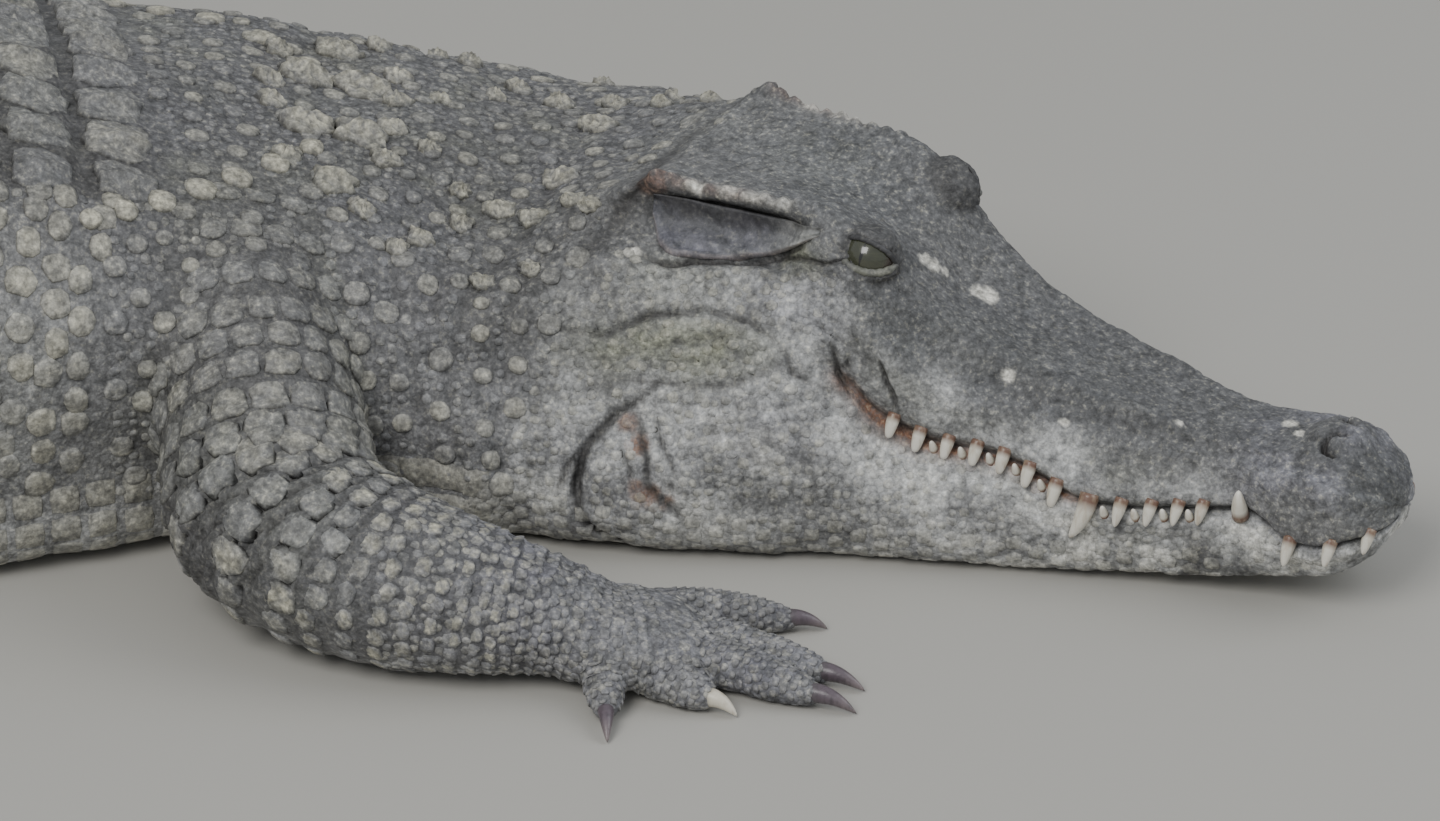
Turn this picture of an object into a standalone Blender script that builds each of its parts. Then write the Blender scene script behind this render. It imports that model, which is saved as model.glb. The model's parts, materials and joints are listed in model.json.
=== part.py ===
"""Saltwater crocodile, a still life-size model that lies on its belly with its head turned to its right.

The body is one surface: eight lines (crown, ridge, temple, cheek, lip, jowl, base, keel) run from the
snout to the tip of the tail, and a spine carries their cross-sections. It is parted into named nodes by
thin gaps. Metres, +Z up, the trunk along +X, the origin on the floor in the middle of the bounding box.
"""
import math

import bmesh
import bpy
import numpy as np
from mathutils import Matrix, Vector

for old in list(bpy.data.objects):
    bpy.data.objects.remove(old)

# ---- driving sizes: metres and degrees, "s" is the distance along the spine from the tip of the snout ----
LENGTH = 4.0
HEAD_END = 0.60
NECK_END = 0.90
TRUNK_END = 2.02
TAIL_CUTS = (2.65, 3.35)
HEAD_TURN = -40.5
TAIL_SWING = (16.0, -10.0, -26.0)
GAP = 0.0003
WHORL = 0.056
SNOUT_ROUND = 0.045
EYE_RADIUS = 0.021
EYE_PLACE = (0.392, 0.0625, 0.2085)
EAR_PLACE = (0.492, 0.083, 0.209)
EAR_HALF_SIZE = (0.062, 0.011, 0.024)

# ---- the lines of the body: (s, half-width) or (s, height) ----
CROWN_Z = ((0, .110), (.02, .117), (.05, .125), (.08, .119), (.12, .117), (.20, .128), (.27, .145),
           (.34, .170), (.38, .198), (.41, .214), (.47, .232), (.56, .238), (.62, .220), (.70, .212),
           (.80, .232), (.92, .264), (1.0, .284), (1.1, .314), (1.25, .342), (1.45, .354), (1.75, .346),
           (2.02, .312), (2.3, .245), (2.6, .215), (3.0, .182), (3.5, .135), (4.0, .05))
RIDGE_Y = ((0, .022), (.05, .030), (.12, .031), (.20, .040), (.30, .052), (.36, .063), (.405, .065),
           (.45, .071), (.56, .085), (.62, .095), (.70, .105), (.90, .132), (1.2, .148), (1.5, .150),
           (1.8, .132), (2.1, .098), (2.5, .066), (3.0, .024), (4.0, .006))
RIDGE_Z = ((0, .107), (.05, .120), (.12, .114), (.20, .126), (.30, .152), (.36, .188), (.40, .231),
           (.45, .239), (.56, .243), (.60, .226), (.70, .200), (.80, .220), (.90, .248), (1.0, .270),
           (1.25, .324), (1.45, .336), (1.8, .330), (2.02, .302), (2.3, .238), (2.6, .208), (3.0, .176),
           (3.5, .128), (4.0, .046))
CHEEK_Y = ((0, .046), (.05, .053), (.12, .045), (.20, .065), (.30, .085), (.36, .099), (.405, .095),
           (.45, .104), (.50, .112), (.56, .132), (.65, .185), (.80, .205), (.90, .213), (1.15, .232),
           (1.45, .243), (1.75, .218), (2.0, .168), (2.3, .122), (2.6, .088), (3.0, .040), (3.5, .020),
           (4.0, .007))
CHEEK_Z = ((0, .095), (.05, .101), (.12, .099), (.20, .101), (.30, .119), (.36, .149), (.405, .184),
           (.45, .188), (.50, .192), (.56, .193), (.65, .178), (.80, .190), (.90, .210), (1.2, .265),
           (1.8, .268), (2.1, .215), (2.5, .165), (3.0, .130), (3.5, .095), (4.0, .038))
LIP_Y = ((0, .050), (.03, .057), (.06, .056), (.10, .050), (.15, .066), (.205, .083), (.275, .085),
         (.325, .097), (.367, .108), (.385, .114), (.43, .129), (.56, .172), (.65, .212), (.75, .232),
         (.90, .245), (1.15, .278), (1.45, .292), (1.75, .262), (2.0, .206), (2.3, .152), (2.6, .110),
         (3.0, .058), (3.5, .030), (4.0, .008))
LIP_Z = ((0, .062), (.02, .063), (.034, .0600), (.05, .0555), (.064, .0550), (.08, .0615), (.095, .0685),
         (.104, .0715), (.115, .0690), (.13, .0680), (.15, .0668), (.175, .065), (.205, .065), (.275, .086),
         (.325, .092), (.367, .112), (.385, .134), (.43, .155), (.56, .150), (.65, .140), (.90, .170),
         (1.2, .185), (1.8, .180), (2.1, .140), (2.5, .108), (3.0, .085), (3.5, .062), (4.0, .028))
JOWL_Y = ((0, .045), (.10, .057), (.20, .084), (.30, .118), (.385, .151), (.435, .178), (.51, .212),
          (.60, .240), (.68, .256), (.80, .250), (.90, .247), (1.15, .270), (1.45, .280), (1.75, .248),
          (2.0, .192), (2.3, .138), (2.6, .099), (3.0, .052), (3.5, .026), (4.0, .008))
JOWL_Z = ((0, .046), (.05, .040), (.10, .046), (.20, .043), (.30, .046), (.385, .056), (.435, .060), (.51, .066),
          (.60, .076), (.80, .085), (1.8, .080), (2.1, .065), (2.5, .050), (3.0, .040), (3.5, .030),
          (4.0, .014))
BASE_Y = ((0, .034), (.10, .048), (.20, .072), (.30, .104), (.385, .132), (.435, .157), (.51, .187),
          (.60, .212), (.70, .228), (.90, .212), (1.15, .234), (1.45, .242), (1.75, .206), (2.0, .148),
          (2.3, .098), (2.6, .062), (3.0, .032), (3.5, .018), (4.0, .006))
BASE_Z = ((0, .038), (.06, .024), (.13, .012), (.22, .004), (.30, .001), (.36, 0), (4.0, 0))
TEMPLE_OUT = ((0, 0), (.34, .002), (.375, .008), (.395, .014), (.42, .008), (.445, -.004), (.48, -.012),
              (.54, -.014), (.60, -.002), (.70, .006), (1.2, .012), (2.0, .010), (2.6, .004), (4.0, 0))
LIP_LINE = 4.0

# ---- the legs: (x, outward from the trunk's middle line, z, half-width, half-height) along each ----
FORE_RIGHT = ((-.780, .080, .150, .062, .070), (-.780, .170, .165, .066, .075),
              (-.780, .250, .125, .072, .076), (-.778, .330, .080, .078, .074),
              (-.728, .392, .062, .072, .066), (-.660, .430, .049, .060, .054),
              (-.596, .452, .036, .048, .038))
FORE_LEFT = ((-.800, .080, .150, .062, .070), (-.820, .170, .165, .066, .075),
             (-.850, .250, .125, .072, .076), (-.868, .335, .080, .078, .074),
             (-.822, .400, .062, .072, .066), (-.758, .443, .049, .060, .054),
             (-.697, .470, .036, .048, .038))
HIND = ((-1.860, .060, .150, .100, .110), (-1.820, .160, .158, .108, .118),
        (-1.778, .262, .132, .098, .104), (-1.772, .350, .100, .082, .084),
        (-1.826, .424, .077, .066, .066), (-1.895, .474, .057, .053, .052),
        (-1.953, .512, .040, .046, .040))
# the toes: (root x, root out, tip x, tip out, half-width, claw length); the soles carry the legs on to them
FORE_TOES_RIGHT = ((-.520, .420, -.428, .440, .0165, .022), (-.515, .455, -.422, .518, .0180, .026),
                   (-.525, .478, -.434, .545, .0180, .026), (-.556, .492, -.507, .535, .0175, .018),
                   (-.575, .486, -.583, .538, .0155, .024))
FORE_TOES_LEFT = ((-.610, .448, -.516, .440, .0165, .022), (-.604, .480, -.505, .508, .0180, .026),
                  (-.616, .504, -.530, .562, .0180, .026), (-.640, .515, -.588, .590, .0155, 0),
                  (-.664, .510, -.652, .582, .0135, 0))
HIND_TOES = ((-1.962, .590, -1.875, .665, .0165, .026), (-1.975, .602, -1.900, .712, .0185, .028),
             (-1.990, .606, -1.945, .742, .0185, .026), (-2.008, .600, -2.002, .730, .0150, 0))
HIND_WEBS = (.55, .60, .60)
FORE_SOLE_RIGHT = ((-.570, .462, .028, .052, .030), (-.538, .464, .024, .058, .026),
                   (-.508, .460, .019, .048, .021))
FORE_SOLE_LEFT = ((-.671, .480, .028, .052, .030), (-.635, .490, .024, .056, .026),
                  (-.606, .494, .019, .046, .021))
HIND_SOLE = ((-1.978, .545, .029, .052, .031), (-1.988, .580, .024, .055, .026),
             (-1.985, .608, .019, .047, .021))
WEB_INSET = 0.08
TOE_SIDES = 6
LEG_SIDES = 11
UPPER_RINGS = 8
LOWER_RINGS = 7
ELBOW = 0.60

# ---- the teeth: where each upper one is along the head, their lengths, and the tooth in the notch ----
UPPER_TEETH = (.012, .034, .064, .130, .146, .164, .184, .207, .232, .253, .273, .293, .313, .333, .352)
TOOTH_LENGTH = ((0, .009), (.03, .013), (.06, .015), (.09, .010), (.14, .012), (.185, .014), (.207, .028),
                (.225, .014), (.27, .012), (.36, .010))
NOTCH_TOOTH = (.104, .030)

# ---- the tail's saw-tooth crest: its height along the tail, and the share that stands everywhere ----
CREST_HEIGHT = ((1.9, 0), (2.15, .012), (2.7, .030), (3.0, .055), (3.5, .060), (3.9, .035), (4.0, .01))
CREST_FOOT = 0.45
CREST_PEAK = 0.72


def curve(s, points):
    """Monotone cubic through (s, value) points: it rounds every corner and never overshoots a value."""
    x, y = np.array(points, float).T
    step = np.diff(x)
    rise = np.diff(y) / step
    slope = np.concatenate([rise[:1], np.zeros(len(x) - 2), rise[-1:]])
    same = rise[:-1] * rise[1:] > 0
    early = 2 * step[1:] + step[:-1]
    late = step[1:] + 2 * step[:-1]
    safe = np.where(same[:, None], np.stack([rise[:-1], rise[1:]], 1), 1.0)
    slope[1:-1] = np.where(same, (early + late) / (early / safe[:, 0] + late / safe[:, 1]), 0.0)
    s = np.clip(np.asarray(s, float), x[0], x[-1])
    i = np.clip(np.searchsorted(x, s, side="right") - 1, 0, len(x) - 2)
    t = (s - x[i]) / step[i]
    start = (2 * t ** 3 - 3 * t ** 2 + 1) * y[i] + (t ** 3 - 2 * t ** 2 + t) * step[i] * slope[i]
    return start + (3 * t ** 2 - 2 * t ** 3) * y[i + 1] + (t ** 3 - t ** 2) * step[i] * slope[i + 1]


def heading(s):
    """The way the animal faces at each place along its spine, in radians from +X."""
    swing = TAIL_SWING
    turn = ((0, HEAD_TURN), (.575, HEAD_TURN), (.64, HEAD_TURN + 9), (.82, -11), (1.0, 0), (1.95, 0),
            (2.5, swing[0]), (3.2, swing[1]), (LENGTH, swing[2]))
    return np.radians(curve(s, turn))


SPINE_S = np.linspace(0, LENGTH, 4001)
SPINE_STEP = SPINE_S[1] - SPINE_S[0]
SPINE_TURN = heading(SPINE_S)
SPINE_X = -np.concatenate([[0], np.cumsum(np.cos((SPINE_TURN[1:] + SPINE_TURN[:-1]) / 2) * SPINE_STEP)])
SPINE_Y = -np.concatenate([[0], np.cumsum(np.sin((SPINE_TURN[1:] + SPINE_TURN[:-1]) / 2) * SPINE_STEP)])
TRUNK_Y = float(np.interp(1.5, SPINE_S, SPINE_Y))


def place(s, y, z):
    """World points from distances along the spine, to the animal's left and up (arrays of one shape)."""
    turn = heading(s)
    x0 = np.interp(s, SPINE_S, SPINE_X)
    y0 = np.interp(s, SPINE_S, SPINE_Y)
    return np.stack([x0 - np.sin(turn) * y, y0 + np.cos(turn) * y, z], -1)


def lines(s):
    """Half-widths and heights of the eight lines at each s, two arrays of shape (8, n)."""
    crown, base = curve(s, CROWN_Z), curve(s, BASE_Z)
    ridge = curve(s, RIDGE_Y), curve(s, RIDGE_Z)
    cheek = curve(s, CHEEK_Y), curve(s, CHEEK_Z)
    out = curve(s, TEMPLE_OUT)
    temple = (ridge[0] + cheek[0]) / 2 + 0.85 * out, (ridge[1] + cheek[1]) / 2 + 0.5 * out
    zero = np.zeros_like(s)
    low = [curve(s, table) for table in (LIP_Y, JOWL_Y, BASE_Y)]
    wide = np.array([zero, ridge[0], temple[0], cheek[0], *low, zero])
    high = np.array([crown, ridge[1], temple[1], cheek[1], curve(s, LIP_Z), curve(s, JOWL_Z), base, base])
    # the snout ends in a blunt round nose
    near = np.clip(s / SNOUT_ROUND, 0, 1)
    full = np.maximum(np.sqrt(1 - (1 - near) ** 2) ** 0.8, 0.3)
    middle = 0.078
    return wide * full, middle + (high - middle) * full


def across(table, v, odd):
    """Smooth curve through the eight lines at parameter v (0 crown .. 7 keel); odd mirrors a half-width."""
    sign = -1 if odd else 1
    table = np.concatenate([sign * table[1:2], table, sign * table[-2:-1]])
    i = np.clip(np.floor(v).astype(int), 0, 6)
    t = (v - i)[:, None]
    a, b, c, d = table[i], table[i + 1], table[i + 2], table[i + 3]
    return (b + 0.5 * t * (c - a + t * (2 * a - 5 * b + 4 * c - d + t * (3 * (b - c) + d - a)))).T


def section(s, v):
    """Half-widths and heights of the body's surface, arrays of shape (len(s), len(v))."""
    wide, high = lines(s)
    return across(wide, v, True), np.maximum(across(high, v, False), 0)


def crest(s, high):
    """Rise of the tail's saw-tooth crest above the crown line: each whorl of scales lifts it once."""
    return curve(s, CREST_HEIGHT) * (CREST_FOOT + (1 - CREST_FOOT) * high)


def body_rings(stations, v_list, grow=0.0, raise_tips=None):
    """Closed rings round the body: down the right side from the crown, and up the left."""
    s = np.array(stations, float)
    v = np.array(v_list, float)
    y, z = section(s, v)
    if raise_tips is not None:
        lift = crest(s, raise_tips)
        z[:, 0] += lift
        z[:, 1] += 0.25 * lift
    y = y + grow * (y > 0)
    z = z + grow * np.where(z > 0.05, 1, 0)
    wide = np.concatenate([-y, y[:, -2:0:-1]], 1)
    high = np.concatenate([z, z[:, -2:0:-1]], 1)
    return place(np.repeat(s[:, None], wide.shape[1], 1), wide, high)


# ---- objects, materials and Booleans ----
model = bpy.data.collections.new("saltwater_crocodile")
cutters = bpy.data.collections.new("cutters")
bpy.context.scene.collection.children.link(model)
bpy.context.scene.collection.children.link(cutters)


def finish(name, colour, roughness):
    """A plain Principled material; nothing on the animal is metal."""
    if name in bpy.data.materials:
        return bpy.data.materials[name]
    material = bpy.data.materials.new(name)
    material.use_nodes = True
    shader = material.node_tree.nodes["Principled BSDF"]
    shader.inputs["Base Color"].default_value = (*colour, 1)
    shader.inputs["Roughness"].default_value = roughness
    shader.inputs["Metallic"].default_value = 0.0
    return material


def add(name, bm, material=None):
    """Put a bmesh into the model, or among the cutters where it has no material."""
    bmesh.ops.recalc_face_normals(bm, faces=bm.faces)
    mesh = bpy.data.meshes.new(name)
    bm.to_mesh(mesh)
    bm.free()
    part = bpy.data.objects.new(name, mesh)
    if material is None:
        cutters.objects.link(part)
        part.hide_render = True
        part.display_type = "WIRE"
        return part
    model.objects.link(part)
    mesh.materials.append(material)
    mesh.shade_smooth()
    mesh.set_sharp_from_angle(angle=math.radians(40))
    return part


def loft(rings, apex=None, bm=None):
    """Join rings of equal length with pairs of triangles; the ends are flat, or the last one a point."""
    bm = bm or bmesh.new()
    loops = [[bm.verts.new(p) for p in ring] for ring in rings]
    count = len(loops[0])
    for a, b in zip(loops, loops[1:]):
        for i in range(count):
            j = (i + 1) % count
            bm.faces.new((a[i], a[j], b[j]))
            bm.faces.new((a[i], b[j], b[i]))
    bm.faces.new(loops[0])
    if apex is None:
        bm.faces.new(loops[-1][::-1])
    else:
        tip = bm.verts.new(apex)
        for i in range(count):
            bm.faces.new((loops[-1][i], loops[-1][(i + 1) % count], tip))
    return bm


def boolean(part, cutter, operation="DIFFERENCE"):
    """Cut or join with an exact Boolean, left live on the part."""
    change = part.modifiers.new(cutter.name, "BOOLEAN")
    change.object = cutter
    change.operation = operation
    change.solver = "EXACT"


HIDE = finish("hide", (0.17, 0.18, 0.17), 0.62)
JAW_HIDE = finish("jaw hide", (0.27, 0.28, 0.25), 0.6)
FLANK_HIDE = finish("flank hide", (0.21, 0.21, 0.19), 0.62)
TAIL_HIDE = finish("tail hide", (0.13, 0.14, 0.13), 0.62)
LEG_HIDE = finish("leg hide", (0.19, 0.19, 0.18), 0.6)
EAR_HIDE = finish("ear flap", (0.20, 0.19, 0.21), 0.45)
EYE = finish("eye", (0.10, 0.10, 0.04), 0.08)
CLAW = finish("claw", (0.10, 0.08, 0.09), 0.35)
PALE_CLAW = finish("pale claw", (0.45, 0.42, 0.36), 0.4)


# ---- the head: the upper jaw with the skull, the lower jaw, the teeth, the eyes and the ear flaps ----
def head_point(s, side, out, z):
    """A point given by its place along the head, side (-1 right, 1 left), distance out and height."""
    return Vector(place(np.array(s), np.array(side * out), np.array(z)))


def half_head(stations, v_list, name, material, closing):
    """Loft of the lines from v_list on both sides; the mouth side is closed straight across."""
    s = np.array(stations, float)
    v = np.array(v_list, float)
    y, z = section(s, v)
    mouth = np.argmin(abs(v - LIP_LINE))
    z[:, mouth] += closing
    wide = np.concatenate([-y[:, ::-1], y[:, 1:]], 1) if mouth else np.concatenate([-y, y[:, -2::-1]], 1)
    high = np.concatenate([z[:, ::-1], z[:, 1:]], 1) if mouth else np.concatenate([z, z[:, -2::-1]], 1)
    rings = place(np.repeat(s[:, None], wide.shape[1], 1), wide, high)
    return add(name, loft(rings), material)


def cone(bm, root, tip, radius, sink, grow=0.0, sides=5):
    """A pointed tooth from its root to its tip, added to a bmesh; grow makes room all round it."""
    length = (tip - root).length
    axis = (tip - root) / length
    side = axis.cross(Vector((0.3, 0.1, 1))).normalized()
    up = axis.cross(side)
    centre = root - axis * (sink * length + grow)
    wide = radius + 1.3 * grow
    turn = [2 * math.pi * k / sides for k in range(sides)]
    ring = [centre + wide * (math.cos(a) * side + math.sin(a) * up) for a in turn]
    loft([ring], tip + axis * grow * length / radius, bm)


def teeth(name, grow=0.0):
    """All upper teeth as one mesh of cones; each hangs from the lip and leans out."""
    bm = bmesh.new()
    for s in UPPER_TEETH:
        length = float(curve(s, TOOTH_LENGTH))
        wide, high = section(np.array([s]), np.array([LIP_LINE]))
        radius = 0.0030 + 0.14 * length
        for side in (-1, 1):
            root = head_point(s, side, wide[0, 0] - 0.003, high[0, 0] + 0.004)
            out = wide[0, 0] + 0.10 * length + 0.004
            tip = head_point(s + 0.1 * length, side, out, high[0, 0] - length)
            cone(bm, root, tip, radius, 0.10, grow)
    return add(name, bm)


def notch_teeth(name, grow=0.0):
    """The only lower teeth that show: the fourth on each side stands in the notch of the upper jaw."""
    bm = bmesh.new()
    s, length = NOTCH_TOOTH
    wide, high = section(np.array([s]), np.array([LIP_LINE]))
    for side in (-1, 1):
        root = head_point(s, side, wide[0, 0] - 0.001, high[0, 0] - 0.006)
        tip = head_point(s, side, wide[0, 0] + 0.006, high[0, 0] + length - 0.010)
        cone(bm, root, tip, 0.0028 + 0.12 * length, 0.15, grow)
    return add(name, bm)


def ball(name, centre, half_size, turn_z, tilt, material=None, grow=0.0, parts=(12, 7)):
    """A round or squashed ball whose long axis follows the head."""
    bm = bmesh.new()
    bmesh.ops.create_uvsphere(bm, u_segments=parts[0], v_segments=parts[1], radius=1)
    scale = Matrix.Diagonal((*[h + grow for h in half_size], 1))
    turn = Matrix.Rotation(turn_z, 4, "Z") @ Matrix.Rotation(tilt, 4, "X")
    bmesh.ops.transform(bm, matrix=Matrix.Translation(centre) @ turn @ scale, verts=bm.verts)
    return add(name, bm, material)


HEAD_STATIONS = (0, .006, .018, .036, .060, .085, .105, .13, .165, .207, .25, .295, .335, .365, .388,
                 .407, .43, .465, .51, .56, HEAD_END - GAP / 2)
UPPER_LINES = (0, 1, 1.5, 2, 2.5, 3, 3.5, 4)
LOWER_LINES = (4, 4.5, 5, 5.5, 6, 7)
head = half_head(HEAD_STATIONS, UPPER_LINES, "head", HIDE, GAP)
lower_jaw = half_head(HEAD_STATIONS, LOWER_LINES, "lower_jaw", JAW_HIDE, -GAP)
boolean(head, notch_teeth("notch_cutter", grow=GAP))
boolean(head, teeth("upper_teeth"), "UNION")
boolean(lower_jaw, teeth("pit_cutter", grow=GAP))
boolean(lower_jaw, notch_teeth("lower_teeth"), "UNION")

head_turn = math.radians(HEAD_TURN)
for side, word in ((-1, "right"), (1, "left")):
    eye_centre = head_point(EYE_PLACE[0], side, EYE_PLACE[1], EYE_PLACE[2])
    ball("eye_" + word, eye_centre, (EYE_RADIUS,) * 3, head_turn, 0, EYE)
    boolean(head, ball("socket_" + word, eye_centre, (EYE_RADIUS,) * 3, head_turn, 0, grow=GAP))
    ear_centre = head_point(EAR_PLACE[0], side, EAR_PLACE[1], EAR_PLACE[2])
    lean = math.radians(-32 * side)
    yaw = head_turn - math.radians(6 * side)
    ball("ear_flap_" + word, ear_centre, EAR_HALF_SIZE, yaw, lean, EAR_HIDE, parts=(10, 6))
    boolean(head, ball("ear_recess_" + word, ear_centre, EAR_HALF_SIZE, yaw, lean, grow=GAP, parts=(10, 6)))

# ---- the neck, the trunk and the tail: one loft each ----
BODY_LINES = (0, 1, 2, 3, 3.5, 4, 4.5, 5, 5.5, 6, 7)
NECK_STATIONS = (HEAD_END + GAP / 2, .635, .67, .705, .74, .78, .82, .86, NECK_END - GAP / 2)
TRUNK_STATIONS = (NECK_END + GAP / 2, .95, 1.0, 1.06, 1.14, 1.24, 1.36, 1.48, 1.60, 1.70, 1.79, 1.87, 1.94,
                  TRUNK_END - GAP / 2)
neck = add("neck", loft(body_rings(NECK_STATIONS, BODY_LINES)), HIDE)
trunk = add("trunk", loft(body_rings(TRUNK_STATIONS, BODY_LINES)), FLANK_HIDE)


def tail_length(name, start, end):
    """A length of the tail: two rings to each whorl, the rear one high, so that the crest is a saw."""
    whorls = round((end - start) / WHORL)
    edges = np.linspace(start + GAP / 2, end - GAP / 2, whorls + 1)
    stations, tips = [edges[0]], [0.0]
    for a, b in zip(edges, edges[1:]):
        stations += [a + CREST_PEAK * (b - a), b]
        tips += [1.0, 0.0]
    rings = body_rings(stations, (0, 1, 3, 4, 5, 6, 7), raise_tips=np.array(tips))
    return add(name, loft(rings), TAIL_HIDE)


tail_ends = (TRUNK_END, *TAIL_CUTS, LENGTH)
for name, start, end in zip(("tail_base", "tail_middle", "tail_tip"), tail_ends, tail_ends[1:]):
    tail_length(name, start, end)


# ---- the legs ----
def leg_centres(path, side, count, first=0.0, last=1.0):
    """Centres, half-widths and half-heights at even steps along a leg's smooth path."""
    points = np.array(path)
    points[:, 1] = TRUNK_Y + side * points[:, 1]
    along = np.concatenate([[0], np.cumsum(np.linalg.norm(np.diff(points[:, :3], axis=0), axis=1))])
    along /= along[-1]
    t = np.linspace(first, last, count)
    return np.stack([curve(t, np.stack([along, column], 1)) for column in points.T], 1)


def tube_rings(centres, sides, phase=0.0):
    """Elliptic rings square to a path of centres; each row is x, y, z, half-width, half-height."""
    spots = centres[:, :3]
    ahead = np.gradient(spots, axis=0)
    ahead /= np.linalg.norm(ahead, axis=1)[:, None]
    level = np.cross(ahead, (0, 0, 1))
    level /= np.linalg.norm(level, axis=1)[:, None]
    upright = np.cross(level, ahead)
    turn = 2 * np.pi * (np.arange(sides) + phase) / sides
    wide = centres[:, 3][:, None, None] * np.cos(turn)[None, :, None] * level[:, None, :]
    high = centres[:, 4][:, None, None] * np.sin(turn)[None, :, None] * upright[:, None, :]
    return spots[:, None, :] + wide + high


floor_bm = bmesh.new()
bmesh.ops.create_cube(floor_bm, size=1)
bmesh.ops.transform(floor_bm, matrix=Matrix.Translation((-2, 0.4, -0.5)) @ Matrix.Diagonal((6, 4, 1, 1)),
                    verts=floor_bm.verts)
ground = add("ground_cutter", floor_bm)
torso_stations = NECK_STATIONS[:-1] + TRUNK_STATIONS[:-1] + (TRUNK_END, 2.06, 2.12, 2.2)
torso = add("torso_cutter", loft(body_rings(torso_stations, BODY_LINES, grow=GAP)))

def foot(name, palm_rings, side, digits, spread):
    """A palm with its toes: the palm runs on from the leg's end, and each toe is a tapered tube.

    digits: (root x, root out, tip x, tip out, half-width, claw length) for each toe.
    spread: how far along its toes each web reaches, for webs between one toe and the next.
    """
    palm = add(name, loft(palm_rings), LEG_HIDE)
    for k, (x0, o0, x1, o1, radius, claw) in enumerate(digits):
        t = np.array([0, .35, .75, 1.0])
        lift = np.array([.018, .016, .0115, .0065])
        size = radius * np.array([1.0, 1.0, .84, .52])
        out = TRUNK_Y + side * (o0 + (o1 - o0) * t)
        row = np.stack([x0 + (x1 - x0) * t, out, lift, size, size * 0.92], 1)
        boolean(palm, add(f"{name}_toe_{k + 1}", loft(tube_rings(row, TOE_SIDES, 0.5))), "UNION")
        if claw:
            add_claw(name.replace("foot", "claw") + f"_{k + 1}", row, claw)
    for k, reach in enumerate(spread):
        a, b = np.array(digits[k][:4]), np.array(digits[k + 1][:4])
        inner, outer = a + WEB_INSET * (b - a), b - WEB_INSET * (b - a)
        web = [inner[:2], outer[:2], outer[:2] + reach * (outer[2:] - outer[:2]),
               inner[:2] + reach * (inner[2:] - inner[:2])]
        flat = [(x, TRUNK_Y + side * o) for x, o in web]
        rings = [[(x, y, z) for x, y in flat] for z in (0.0024 + 0.0007 * k, 0.0095 + 0.0013 * k)]
        boolean(palm, add(f"{name}_web_{k + 1}", loft(rings)), "UNION")
    boolean(palm, ground)


def add_claw(name, row, length):
    """A curved horn cone that carries a toe on from its end and comes down to the floor."""
    toe_end = tube_rings(row, TOE_SIDES, 0.5)[-1]
    middle = row[-1, :3]
    ahead = row[-1, :3] - row[-2, :3]
    ahead /= np.linalg.norm(ahead)
    first = middle + 0.88 * (toe_end - middle) + GAP * ahead
    level = np.array([ahead[0], ahead[1], 0]) / math.hypot(ahead[0], ahead[1])
    t = np.array([0, .55])
    spots = middle + GAP * ahead + length * t[:, None] * level
    spots[:, 2] += 0.0025 * np.sin(np.pi * t) - 0.0025 * t ** 2
    size = row[-1, 3] * np.array([.88, .58])
    rings = tube_rings(np.column_stack([spots, size, size]), TOE_SIDES, 0.5)
    tip = middle + length * level
    tip[2] = 0.0006
    material = PALE_CLAW if name == "fore_right_claw_4" else CLAW
    return add(name, loft([first, *rings[1:]], tip), material)


def leg(name, path, sole, side, toes, webs=()):
    """Upper leg, lower leg and foot, parted at the elbow or knee and at the wrist or ankle.

    sole: (x, out, z, half-width, half-height) rows that carry the leg on through the palm.
    """
    upper = leg_centres(path, side, UPPER_RINGS, 0.0, ELBOW)
    lower = leg_centres(path, side, LOWER_RINGS, ELBOW, 1.0)
    palm = np.array(sole)
    palm[:, 1] = TRUNK_Y + side * palm[:, 1]
    chain = np.concatenate([upper, lower[1:], palm])
    rings = tube_rings(chain, LEG_SIDES)
    elbow, wrist = UPPER_RINGS - 1, UPPER_RINGS + LOWER_RINGS - 2

    def beyond(start, end):
        """The rings from start to end, the first moved on by the gap."""
        ahead = chain[start + 1, :3] - chain[start - 1, :3]
        piece = rings[start:end].copy()
        piece[0] += GAP * ahead / np.linalg.norm(ahead)
        return piece

    upper_part = add(name + "_upper_leg", loft(rings[:elbow + 1]), LEG_HIDE)
    lower_part = add(name + "_lower_leg", loft(beyond(elbow, wrist + 1)), LEG_HIDE)
    boolean(upper_part, torso)
    boolean(upper_part, ground)
    boolean(lower_part, ground)
    foot(name + "_foot", beyond(wrist, len(rings)), side, toes, webs)


leg("fore_right", FORE_RIGHT, FORE_SOLE_RIGHT, -1, FORE_TOES_RIGHT)
leg("fore_left", FORE_LEFT, FORE_SOLE_LEFT, 1, FORE_TOES_LEFT)
leg("hind_right", HIND, HIND_SOLE, -1, HIND_TOES, HIND_WEBS)
leg("hind_left", HIND, HIND_SOLE, 1, HIND_TOES, HIND_WEBS)

# ---- bring the origin to the floor, in the middle of the bounding box ----
corners = np.array([vertex.co for part in model.objects for vertex in part.data.vertices])
middle = (corners.min(0) + corners.max(0)) / 2
shift = Matrix.Translation((-middle[0], -middle[1], 0))
for part in list(model.objects) + list(cutters.objects):
    part.data.transform(shift)
print("size", (corners.max(0) - corners.min(0)).round(3), "objects", len(model.objects))
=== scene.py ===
# %% [markdown]
# # A saltwater crocodile, worked out from a handful of lines
# A big crocodile lies on its belly with its head turned to its right. The solid model in the frame already
# has its true outline. This lesson dresses it: one continuous skin, then the scales, the eyes, the teeth and
# the claws, each as a surface computed with numpy, and then the finishes as shader nodes.
# The frame comes first, because every piece is placed from it and rides on it.

# %% The fixed frame
import json
import math

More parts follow.
